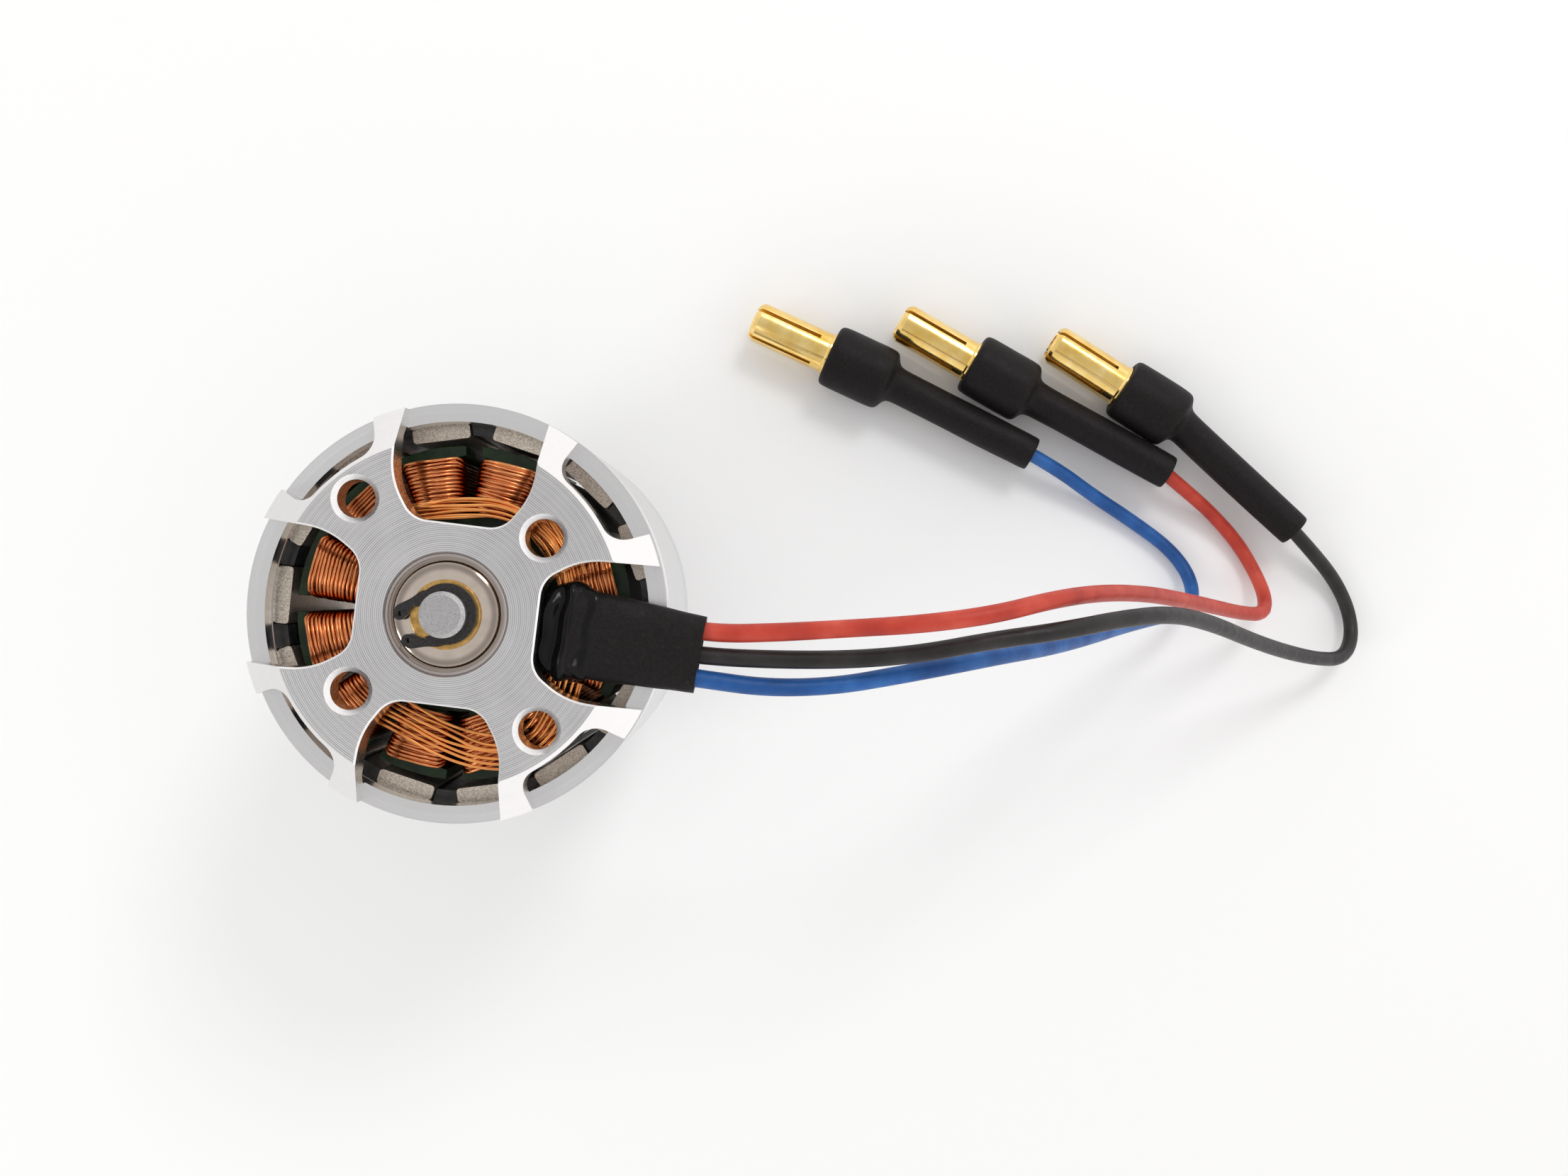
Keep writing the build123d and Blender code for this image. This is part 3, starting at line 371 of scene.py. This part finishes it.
def polished_steel():
    """Pressed and tumbled shield: nearly mirror and warm, with handling marks and a painted dark
    reflection towards its edge.
    """
    s = Shader("polished_shield", (0.74, 0.63, 0.54), 0.1, 1.0)
    cloud = s.noise(900, 4)
    tone = s.ramp(cloud, [(0.3, (0.80, 0.69, 0.60)), (0.7, (0.68, 0.58, 0.50))])
    # Painted reflection: from r 2.75 mm outwards the colour darkens to stand in for dark surroundings
    # mirrored near the edge.
    ring = s.math("MULTIPLY", s.step(s.radius(), 2.75 * MM, 3.1 * MM), 0.62)
    tone = s.blend(ring, tone, (0.20, 0.155, 0.13))
    specks = s.math("MULTIPLY", s.step(s.noise(5200, 3), 0.66, 0.74), 0.5)
    s.colour(s.blend(specks, tone, (0.20, 0.17, 0.15)))
    s.roughness(cloud, 0.07, 0.17)
    s.bump(s.noise(1500, 2), 0.06, 0.01)
    return s.material


def shaft_steel():
    """Ground end of the shaft: dull grain and faint scratches."""
    s = Shader("shaft_steel", (0.60, 0.60, 0.61), 0.42, 1.0)
    grain = s.noise(9000, 3)
    s.colour(s.ramp(grain, [(0.3, (0.56, 0.55, 0.55)), (0.7, (0.38, 0.37, 0.38))]))
    s.roughness(grain, 0.34, 0.55)
    s.bump(grain, 0.25, 0.01)
    scratches = s.noise(1800, 2, s.stretched(1, 9, 1), 0.6)
    s.bump(s.step(scratches, 0.62, 0.66), 0.15, 0.006)
    return s.material


def core_steel():
    """Stacked sheets: fine lines across the stack."""
    s = Shader("core_steel", (0.30, 0.29, 0.28), 0.45, 1.0)
    sheets = s.waves(s.axis("Z"), 0.2 * MM)
    s.colour(s.blend(s.noise(700, 3), (0.36, 0.35, 0.34), (0.18, 0.17, 0.16)))
    s.bump(sheets, 0.5, 0.02)
    return s.material


def green_epoxy():
    s = Shader("green_epoxy", (0.012, 0.030, 0.011), 0.3, Specular_IOR_Level=0.3)
    flow = s.noise(900, 3)
    s.colour(s.ramp(flow, [(0.3, (0.006, 0.017, 0.006)), (0.7, (0.020, 0.044, 0.014))]))
    s.roughness(flow, 0.22, 0.42)
    s.bump(flow, 0.5, 0.09)
    s.bump(s.noise(7000, 2), 0.2, 0.012)
    return s.material


def enamelled_copper(name, bright):
    """Copper seen through clear amber enamel, a little uneven along each wire."""
    s = Shader(name, bright, 0.2, 1.0, Coat_Weight=0.5, Coat_Roughness=0.06,
               Coat_Tint=(1.0, 0.86, 0.66, 1))
    dark = (bright[0] * 0.55, bright[1] * 0.42, bright[2] * 0.35)
    light = (min(1, bright[0] * 1.15), bright[1] * 1.35, bright[2] * 1.5)
    drift = s.noise(420, 3)
    s.colour(s.ramp(drift, [(0.28, dark), (0.5, bright), (0.74, light)]))
    s.roughness(s.noise(3000, 2), 0.12, 0.3)
    s.bump(s.noise(2600, 2), 0.2, 0.02)
    return s.material


def nickel_magnet():
    """Nickel plated magnet: warm, grainy and stained."""
    s = Shader("nickel_magnet", (0.60, 0.55, 0.47), 0.38, 1.0)
    grain = s.noise(11000, 3)
    stain = s.noise(700, 3)
    base = s.ramp(grain, [(0.34, (0.44, 0.37, 0.30)), (0.5, (0.72, 0.64, 0.55)),
                          (0.66, (0.95, 0.88, 0.78))])
    s.colour(s.blend(s.math("MULTIPLY", stain, 0.4), base, (0.50, 0.41, 0.32)))
    s.roughness(grain, 0.3, 0.5)
    s.bump(grain, 0.7, 0.03)
    return s.material


def black_resin():
    s = Shader("black_filler", (0.012, 0.011, 0.011), 0.35, Coat_Weight=0.3, Coat_Roughness=0.2)
    lumps = s.noise(1600, 3)
    s.colour(s.ramp(lumps, [(0.3, (0.006, 0.006, 0.006)), (0.7, (0.03, 0.027, 0.025))]))
    s.bump(lumps, 0.6, 0.12)
    return s.material


def bronze():
    s = Shader("bronze", (0.72, 0.47, 0.16), 0.25, 1.0)
    stain = s.noise(2500, 3)
    s.colour(s.ramp(stain, [(0.3, (0.46, 0.26, 0.075)), (0.7, (0.74, 0.46, 0.15))]))
    s.roughness(stain, 0.18, 0.4)
    s.bump(s.noise(9000, 2), 0.2, 0.006)
    return s.material


def black_steel():
    """Oiled black oxide with worn sparkles."""
    s = Shader("black_steel", (0.02, 0.018, 0.018), 0.32, 0.4)
    grain = s.noise(6000, 3)
    worn = s.step(s.noise(2400, 4), 0.66, 0.76)
    base = s.ramp(grain, [(0.3, (0.012, 0.011, 0.011)), (0.7, (0.04, 0.036, 0.035))])
    s.colour(s.blend(s.math("MULTIPLY", worn, 0.5), base, (0.20, 0.18, 0.17)))
    s.bump(grain, 0.4, 0.012)
    return s.material


def potting_glue():
    s = Shader("potting_black", (0.004, 0.004, 0.004), 0.1, Specular_IOR_Level=0.16)
    skin = s.noise(700, 2)
    s.colour(s.ramp(skin, [(0.3, (0.003, 0.003, 0.003)), (0.7, (0.009, 0.008, 0.008))]))
    s.roughness(skin, 0.06, 0.2)
    s.bump(skin, 0.25, 0.08)
    return s.material


def shrink_black():
    """Matte heat-shrink: fine skin, soft waves and dust."""
    s = Shader("shrink_black", (0.013, 0.011, 0.011), 0.48, Specular_IOR_Level=0.14)
    skin = s.noise(5000, 3)
    dust = s.step(s.noise(2100, 4), 0.6, 0.8)
    base = s.ramp(skin, [(0.3, (0.008, 0.0065, 0.0068)), (0.7, (0.015, 0.012, 0.0125))])
    s.colour(s.blend(s.math("MULTIPLY", dust, 0.25), base, (0.055, 0.046, 0.046)))
    s.roughness(s.noise(900, 3), 0.4, 0.62)
    s.bump(s.noise(500, 3), 0.3, 0.1)
    s.bump(skin, 0.25, 0.012)
    return s.material


LEAD_COLOURS = {  # middle tone, dark, light
    "red": ((0.50, 0.046, 0.026), (0.38, 0.030, 0.018), (0.62, 0.085, 0.052)),
    "black": ((0.018, 0.015, 0.015), (0.011, 0.009, 0.009), (0.034, 0.029, 0.029)),
    "blue": ((0.014, 0.095, 0.33), (0.008, 0.062, 0.23), (0.034, 0.155, 0.46)),
}


def lead_sleeving(name, colour, dark, light):
    """Shrunk sleeving over stranded wire: soft wrinkles and a little wax sheen."""
    s = Shader(name, colour, 0.42, Specular_IOR_Level=0.32)
    tone = s.noise(330, 3)
    s.colour(s.ramp(tone, [(0.3, dark), (0.5, colour), (0.72, light)]))
    s.roughness(s.noise(2400, 3), 0.34, 0.54)
    s.bump(s.noise(620, 3, distortion=0.5), 0.55, 0.16)
    s.bump(s.noise(7000, 2), 0.15, 0.01)
    return s.material


def gold_plate():
    s = Shader("gold_plate", (0.95, 0.66, 0.20), 0.14, 1.0)
    tone = s.noise(700, 4)
    s.colour(s.ramp(tone, [(0.3, (0.86, 0.55, 0.13)), (0.7, (1.0, 0.76, 0.32))]))
    s.roughness(s.noise(2600, 3), 0.09, 0.24)
    s.bump(s.noise(4200, 2), 0.12, 0.01)
    return s.material


def make_materials():
    return {
        "machined_aluminium": machined_aluminium(),
        "bell_aluminium": turned_metal("bell_aluminium", (0.80, 0.80, 0.82), 0.28, 0.12),
        "rotor_steel": turned_metal("rotor_steel", (0.80, 0.80, 0.80), 0.2, 0.08),
        "bearing_steel": turned_metal("bearing_steel", (0.56, 0.50, 0.48), 0.3, 0.05),
        "polished_shield": polished_steel(),
        "shaft_steel": shaft_steel(),
        "core_steel": core_steel(),
        "green_epoxy": green_epoxy(),
        "enamelled_copper": enamelled_copper("enamelled_copper", (0.78, 0.31, 0.12)),
        "lead_wire_copper": enamelled_copper("lead_wire_copper", (0.88, 0.37, 0.11)),
        "nickel_magnet": nickel_magnet(),
        "black_filler": black_resin(),
        "bronze": bronze(),
        "black_steel": black_steel(),
        "potting_black": potting_glue(),
        "shrink_black": shrink_black(),
        **{f"lead_{name}": lead_sleeving(f"lead_{name}", *tones)
           for name, tones in LEAD_COLOURS.items()},
        "gold_plate": gold_plate(),
    }


# ---------------------------------------------------------------- meshes

class Mesher:
    """Collects tubes and grids in millimetres and makes one mesh object in metres."""

    def __init__(self):
        self.points = []
        self.faces = []

    def grid(self, rows, caps=False):
        """rows is an array of closed rings of points; caps closes the first and the last."""
        rows = np.asarray(rows, float)
        n, m = rows.shape[:2]
        first = len(self.points)
        self.points.extend(map(tuple, rows.reshape(-1, 3)))
        for i in range(n - 1):
            for j in range(m):
                k = (j + 1) % m
                self.faces.append((first + i * m + j, first + i * m + k,
                                   first + (i + 1) * m + k, first + (i + 1) * m + j))
        if caps:
            self.faces.append(tuple(first + j for j in reversed(range(m))))
            self.faces.append(tuple(first + (n - 1) * m + j for j in range(m)))

    def tube(self, path, radius, sides):
        """A capped tube along a path."""
        path = np.asarray(path, float)
        along = np.gradient(path, axis=0)
        along /= np.linalg.norm(along, axis=1)[:, None]
        side = np.cross(along[0], (0, 0, 1) if abs(along[0][2]) < 0.9 else (1, 0, 0))
        sides_at = np.zeros_like(path)
        for i, direction in enumerate(along):
            side = side - direction * (side @ direction)
            side /= np.linalg.norm(side)
            sides_at[i] = side
        other = np.cross(along, sides_at)
        turn = np.linspace(0, 2 * math.pi, sides, endpoint=False)
        rows = path[:, None] + radius * (np.cos(turn)[None, :, None] * sides_at[:, None]
                                         + np.sin(turn)[None, :, None] * other[:, None])
        self.grid(rows, caps=True)

    def object(self, name, material, body, replaces):
        mesh = bpy.data.meshes.new(name)
        mesh.from_pydata([(x * MM, y * MM, z * MM) for x, y, z in self.points], [], self.faces)
        mesh.validate()
        mesh.materials.append(material)
        mesh.shade_smooth()
        piece = bpy.data.objects.new(name, mesh)
        bpy.context.scene.collection.objects.link(piece)
        return settle(piece, body, replaces)


def settle(piece, body, replaces):
    """Puts a piece on its body and hides the CAD nodes that it stands for."""
    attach(piece, body)
    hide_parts(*replaces)
    return piece


def nurbs_curve(name, routes, radius, material, resolution=10):
    """One curve object with a smooth spline for each route, in millimetres."""
    data = bpy.data.curves.new(name, "CURVE")
    data.dimensions = "3D"
    data.bevel_depth = radius * MM
    data.bevel_resolution = 5
    data.resolution_u = resolution
    data.use_fill_caps = True
    for route in routes:
        spline = data.splines.new("NURBS")
        spline.points.add(len(route) - 1)
        for number, (point, place) in enumerate(zip(spline.points, route)):
            point.co = (*(c * MM for c in place), 1)
            point.radius = 1 + 0.04 * wander(place[0] * 0.9, place[1], number * 1.3)
        spline.order_u = 3
        spline.use_endpoint_u = True
    data.materials.append(material)
    curve = bpy.data.objects.new(name, data)
    bpy.context.scene.collection.objects.link(curve)
    return curve


def flat_way(degrees):
    a = math.radians(degrees)
    return Vector((math.cos(a), math.sin(a), 0))


def ring(count):
    """The cosine and sine of count equal steps round a turn."""
    angles = [2 * math.pi * k / count for k in range(count)]
    return [(math.cos(a), math.sin(a)) for a in angles]


def squared(value, power):
    """value to a power, with its sign kept: a power under 1 squares off an ellipse."""
    return math.copysign(abs(value) ** power, value)


def wander(*place):
    """Smooth noise from about -1 to 1. The factors in its calls set its pace and keep them apart."""
    return noise.noise(Vector(place)) * 1.6


def subdivide(piece, levels):
    smooth = piece.modifiers.new("smooth", "SUBSURF")
    smooth.levels = smooth.render_levels = levels


# ---------------------------------------------------------------- windings

def turn_outline(half, low, high):
    """One turn as (across, height) points: straight down both slot walls, round over both ends."""
    crown = np.linspace(0, math.pi, 11)
    across = half * np.sign(np.cos(crown)) * np.abs(np.cos(crown)) ** 0.85
    rise = np.sin(crown) ** 0.8
    top, bottom = CORE_TOP + COATING, CORE_BOTTOM - COATING
    over = [(a, top + (high - top) * r) for a, r in zip(across, rise)]
    under = [(-a, bottom - (bottom - low) * r) for a, r in zip(across, rise)]
    return over + under


def coil_path(tooth, layer):
    """One layer of turns about a tooth, as points in the tooth's own frame; layer 0 is outside."""
    inner = COIL_INNER + WIRE_RADIUS + 0.5 * WIRE_PITCH * (layer % 2)
    turns = int((COIL_OUTER - WIRE_RADIUS - inner) / WIRE_PITCH)
    slant = SLANT * wander(tooth * 1.9, 0.7, 0.4)
    points = []
    for turn in range(turns):
        share = turn / (turns - 1)
        depth = layer * LAYER_STEP + LOOSENESS * abs(wander(tooth * 5.1, layer * 3.3, turn * 0.9))
        half = COIL_HALF_WIDTHS[0] + (COIL_HALF_WIDTHS[1] - COIL_HALF_WIDTHS[0]) * share
        half = max(half - WIRE_RADIUS - depth, STEM_HALF + WIRE_RADIUS)
        sag = END_SAG * (2 * share - 0.9) ** 2 + SAG_WANDER * wander(tooth * 3.1, layer, turn * 0.7)
        reach = WIRE_RADIUS + depth + sag
        outline = turn_outline(half, COIL_BOTTOM + reach, COIL_TOP - reach)
        for k, (across, height) in enumerate(outline):
            part = k / len(outline)
            out = max(height - CORE_TOP - COATING, CORE_BOTTOM - COATING - height, 0.0)
            lean = CROWN_LEAN * share * min(1.0, out / CROWN_LEAN_HEIGHT)
            sway = SWAY * wander(tooth * 2.7 + turn * 1.7, part * 5, layer * 4.0)
            radial = inner + (turn + part) * WIRE_PITCH + lean + sway + slant * across
            points.append((radial, across, height))
    return points


def winding(phase, material):
    """The four coils of a phase as wound wire."""
    mesher = Mesher()
    for k in PHASE_TEETH:
        tooth = (2 * phase + k) % TOOTH_COUNT
        turn = Matrix.Rotation(math.radians(FIRST_TOOTH + 360 / TOOTH_COUNT * tooth), 3, "Z")
        for layer in range(COIL_LAYERS):
            path = [turn @ Vector(p) for p in coil_path(tooth, layer)]
            mesher.tube(path, WIRE_RADIUS, sides=7)
    name = "abc"[phase]
    mesher.object(f"winding_turns_{name}", material, "stator",
                  [f"winding_phase_{name}"])


# Each bundle of winding ends: the line of its middle, its wires and its width
WIRE_BUNDLES = {
    "a": [(-5.2, 6.35), (-2.6, 6.8), (0.2, 7.1), (3.0, 7.0), (5.4, 5.7), (6.9, 3.9), (7.3, 2.0)],
    "b": [(-5.4, -5.9), (-3.4, -7.0), (-1.0, -8.3), (1.6, -9.3), (4.2, -9.3), (6.4, -7.6), (7.3, -4.4)],
    "c": [(5.2, 7.7), (7.4, 5.5), (8.3, 2.6)],
}
WIRES_IN_BUNDLE = {"a": 7, "b": 7, "c": 4}
BUNDLE_WIDTHS = {"a": 1.25, "b": 2.5, "c": 0.8}
BUNDLE_WANDER = 0.24


def lead_wire_bundle(name, material):
    """Winding ends on their way to the potting: separate wires that cross each other loosely."""
    routes = []
    count = WIRES_IN_BUNDLE[name]
    centre = WIRE_BUNDLES[name]
    for wire in range(count):
        spread = (wire - (count - 1) / 2) / count * BUNDLE_WIDTHS[name]
        route = []
        for k, (x, y) in enumerate(centre):
            before = Vector(centre[max(k - 1, 0)])
            after = Vector(centre[min(k + 1, len(centre) - 1)])
            side = Vector((-(after - before).y, (after - before).x)).normalized()
            shift = spread + BUNDLE_WANDER * wander(wire * 1.7, k * 0.8, ord(name))
            height = WIRE_LEVEL + BUNDLE_WANDER * wander(wire * 2.9, k * 0.7, 3.0)
            route.append((x + side.x * shift, y + side.y * shift, height))
        routes.append(route)
    curve = nurbs_curve(f"lead_wires_{name}", routes, WIRE_RADIUS, material)
    settle(curve, "stator", [f"phase_lead_wires_{name}"])


# ---------------------------------------------------------------- potting, sleeve, leads, connectors

# Along the sleeve from its mouth: (distance, half width, height of the top, height of the underside)
POTTING_SECTIONS = [
    (-2.3, 1.7, 36.3, 34.2), (-2.05, 2.5, 36.9, 34.2), (-1.6, 2.95, 36.75, 34.2),
    (-1.2, 3.15, 36.5, 34.2), (-0.95, 3.25, 36.75, 34.2), (-0.7, 3.35, 37.3, 34.3),
    (-0.4, 3.35, 37.4, 34.4), (-0.1, 3.25, 37.0, 34.5), (0.2, 3.14, 37.05, 34.6),
    (0.7, 3.08, 37.3, 34.75), (1.1, 3.0, 37.28, 34.85), (1.5, 2.8, 37.05, 35.05),
]
POTTING_SIDES = 36


def potting(material):
    """Glossy glue: it fills the window's corner, swells into a collar and laps over the sleeve."""
    rows = []
    for d, half_width, top, bottom in POTTING_SECTIONS:
        row = []
        for c, s in ring(POTTING_SIDES):
            lumps = 0.10 * wander(d * 1.1, c * 1.6, s * 1.4) + 0.05 * wander(d * 2.3, c * 4.0, s * 3.0)
            y = (half_width + lumps) * squared(c, 0.7)
            z = (top + bottom) / 2 + ((top - bottom) / 2 + lumps) * squared(s, 0.65)
            along = d + 0.12 * wander(y * 0.7, 4.0, s)
            place = SLEEVE_START + SLEEVE_WAY * along + SLEEVE_ACROSS * y
            row.append((place.x, place.y, z))
        rows.append(row)
    mesher = Mesher()
    mesher.grid(rows, caps=True)
    piece = mesher.object("potting_glue", material, "stator", ["lead_potting"])
    subdivide(piece, 2)


SLEEVE_BACK = -0.35  # it starts this far behind its mouth, under the glue
SLEEVE_STEPS, SLEEVE_SIDES = 40, 56
SLEEVE_HALF_WIDTH, SLEEVE_TAPER, SLEEVE_HALF_HEIGHT = 3.0, 0.45, 1.12
SLEEVE_WALL = 0.28
RIB_PITCH, RIB_HEIGHT = 1.6, 0.05  # the leads show through as ribs


def sleeve_rows(inset):
    """Rings of the flattened sleeve's outline; inset moves the wall inwards for its inner face."""
    rows = []
    for i in range(SLEEVE_STEPS + 1):
        d = SLEEVE_BACK + (SLEEVE_LENGTH - SLEEVE_BACK) * i / SLEEVE_STEPS
        taper = SLEEVE_TAPER * max(0.0, d / SLEEVE_LENGTH)
        half_width = SLEEVE_HALF_WIDTH - taper + 0.05 * wander(d * 0.5, 1.0, 7.0) - inset
        half_height = SLEEVE_HALF_HEIGHT + 0.05 * math.sin(d * 0.9 + 0.5) - inset
        flare = 0.05 * math.exp(-((SLEEVE_LENGTH - d) / 0.25) ** 2)
        row = []
        for c, s in ring(SLEEVE_SIDES):
            y = half_width * squared(c, 0.8)
            z = half_height * squared(s, 0.75)
            ribs = RIB_HEIGHT * math.cos(y * 2 * math.pi / RIB_PITCH) * abs(s)
            crumple = 0.045 * wander(d * 0.8, y * 0.9, s * 2) + 0.02 * wander(d * 2.2, y * 2.2, s)
            z += math.copysign(ribs + crumple + flare, s)
            place = SLEEVE_START + SLEEVE_WAY * d + SLEEVE_ACROSS * y
            row.append((place.x, place.y, place.z + z))
        rows.append(row)
    return rows


def sleeve(material):
    outer, inner = sleeve_rows(0.0), sleeve_rows(SLEEVE_WALL)
    mesher = Mesher()
    mesher.grid([*outer[::-1], *inner, outer[-1]])
    return mesher.object("heat_shrink_sleeve", material, "stator", ["lead_sleeve"])


# A connector's heat-shrink: (distance from its tail's end, radius)
TAIL_RADIUS, FRONT_RADIUS = 1.52, 2.76
STEP_AT = 13.8
FRONT_AT = STEP_AT + 6.08
BEND_FROM, BEND_LENGTH = 11.8, 4.0  # here it turns from the tail's way to the pin's
TAIL_BORE = [(1.3, 1.12), (0.0, 1.14)]
TAIL_OUTSIDE = [(d, TAIL_RADIUS + more) for d, more in (
    (0.0, -0.06), (0.12, 0.0), (2.0, 0.0), (5.0, 0.02), (8.0, 0.0), (11.0, 0.01), (12.9, 0.02),
    (13.5, 0.06), (STEP_AT, 0.22),
)]
FRONT_OUTSIDE = [(d, FRONT_RADIUS + more) for d, more in (
    (14.0, -0.75), (14.15, -0.38), (14.35, -0.12), (14.7, -0.02), (15.4, 0.0), (17.0, 0.0),
    (19.0, 0.0), (19.55, -0.05), (19.8, -0.22), (FRONT_AT, -0.55),
)]
FRONT_BORE = [(FRONT_AT, 2.0), (19.0, 1.98)]
SHRINK_SIDES = 48


def connector_shrink(colour, material):
    """The stepped sleeve of a connector, bent near its step; its outside is a little uneven."""
    tail_way = flat_way(TAIL_DIRECTIONS[colour])
    pin_way = flat_way(BULLET_DIRECTIONS[colour])
    tail_end = Vector(LEAD_ROUTES[colour][-1]) - tail_way
    step = tail_end + tail_way * STEP_AT
    stations = [*TAIL_BORE, *TAIL_OUTSIDE, *FRONT_OUTSIDE, *FRONT_BORE]
    uneven = range(len(TAIL_BORE), len(stations) - len(FRONT_BORE) - 1)
    seed = ord(colour[-1])
    rows = []
    for n, (d, radius) in enumerate(stations):
        share = min(1.0, max(0.0, (d - BEND_FROM) / BEND_LENGTH))
        ease = share * share * (3 - 2 * share)
        way = (tail_way * (1 - ease) + pin_way * ease).normalized()
        place = tail_end + tail_way * d if d <= STEP_AT else step + pin_way * (d - STEP_AT)
        across = Vector((-way.y, way.x, 0))
        row = []
        for c, s in ring(SHRINK_SIDES):
            rough = 0.035 * wander(d * 0.35, c * 1.1, s * 1.1 + seed)
            rough += 0.02 * wander(d * 1.4, c * 2, s * 2 + seed)
            r = radius + (rough if n in uneven else 0)
            row.append(tuple(place + across * (r * c) + Vector((0, 0, r * s))))
        rows.append(row)
    mesher = Mesher()
    mesher.grid([row[::-1] for row in rows], caps=True)
    piece = mesher.object(f"connector_shrink_{colour}", material, "stator",
                          [f"bullet_shrink_{colour}"])
    subdivide(piece, 1)
    return piece


def leads(materials):
    """The three cords. The sleeve holds all of them and goes with the middle one, the black."""
    for colour, route in LEAD_ROUTES.items():
        curve = nurbs_curve(f"wire_{colour}", [route], LEAD_RADIUS, materials[f"lead_{colour}"], 16)
        settle(curve, "stator", [f"lead_{colour}"])
        shrink = connector_shrink(colour, materials["shrink_black"])
        if colour == "black":
            sleeve(materials["shrink_black"])


# ---------------------------------------------------------------- prop stud

THREAD_PITCH, THREAD_CREST, THREAD_ROOT = 1.0, 2.98, 2.42
ROWS_PER_PITCH, THREAD_SIDES = 10, 56
CHAMFER_RADIUS, CHAMFER_SLOPE = 2.2, 1.2
TIP_RADIUS = 0.001  # the end's middle


def prop_thread(material):
    """M6 x 1 thread with a chamfered end, from the ground up to the bell."""
    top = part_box("bell_cap")[0].z / MM
    count = int(top * ROWS_PER_PITCH / THREAD_PITCH)
    rows = [[(TIP_RADIUS * c, TIP_RADIUS * s, 0.0) for c, s in ring(THREAD_SIDES)]]
    for i in range(count + 1):
        z = top * i / count
        row = []
        for k, (c, s) in enumerate(ring(THREAD_SIDES)):
            phase = (z / THREAD_PITCH + k / THREAD_SIDES) % 1.0
            ridge = max(0.0, min(1.0, 2.6 * abs(2 * phase - 1) - 0.75))
            radius = THREAD_ROOT + (THREAD_CREST - THREAD_ROOT) * ridge
            radius = min(radius, CHAMFER_RADIUS + z * CHAMFER_SLOPE)
            row.append((radius * c, radius * s, z))
        rows.append(row)
    mesher = Mesher()
    mesher.grid([row[::-1] for row in rows], caps=True)
    mesher.object("prop_stud_thread", material, "rotor", ["prop_stud"])


# ---------------------------------------------------------------- CAD nodes' finishes

BEARING_FINISHES = {
    "outer_ring": "bearing_steel", "inner_ring": "bearing_steel", "balls": "polished_shield",
    "cage": "bronze", "shields": "polished_shield", "snap_wires": "polished_shield",
}
FINISHES = {
    "motor_base": "machined_aluminium", "bell_cap": "bell_aluminium", "flux_ring": "rotor_steel",
    "stator_core": "core_steel", "insulation_upper": "green_epoxy", "insulation_lower": "green_epoxy",
    "magnets_north": "nickel_magnet", "magnets_south": "nickel_magnet", "magnet_spacers": "black_filler",
    "shaft": "shaft_steel", "shim_washer": "shaft_steel", "circlip": "black_steel",
    "hub_grub_screws": "black_steel", "bronze_washer": "bronze",
    **{f"bullet_{colour}": "gold_plate" for colour in LEAD_ROUTES},
    **{f"{end}_bearing_{part}": finish for end in ("upper", "lower")
       for part, finish in BEARING_FINISHES.items()},
}

EDGE_ROUNDING = {"magnets_north": 0.22, "magnets_south": 0.22, "insulation_upper": 0.18,
                 "insulation_lower": 0.18, "circlip": 0.08, "bronze_washer": 0.05}


def finish_nodes(materials):
    """Gives the CAD nodes that stay in view their materials, and rounds the edges of some."""
    for node, finish in FINISHES.items():
        mesh = NODES[node].data
        mesh.materials.clear()
        mesh.materials.append(materials[finish])
        if node in EDGE_ROUNDING:
            weld = NODES[node].modifiers.new("weld", "WELD")
            weld.merge_threshold = 0.002 * MM
            bevel = NODES[node].modifiers.new("edges", "BEVEL")
            bevel.width = EDGE_ROUNDING[node] * MM
            bevel.segments = 3
            bevel.limit_method = "ANGLE"
            bevel.angle_limit = math.radians(50)
            bevel.harden_normals = False


def build():
    make_camera()
    materials = make_materials()
    leads(materials)
    make_world()
    make_floor()
    for name, (place, size, power) in LIGHTS.items():
        area_light(name, place, size, power)
    finish_nodes(materials)
    for phase in range(3):
        winding(phase, materials["enamelled_copper"])
    for name in WIRE_BUNDLES:
        lead_wire_bundle(name, materials["lead_wire_copper"])
    potting(materials["potting_black"])
    prop_thread(materials["bell_aluminium"])
    bpy.context.scene.view_settings.view_transform = "Standard"


build()
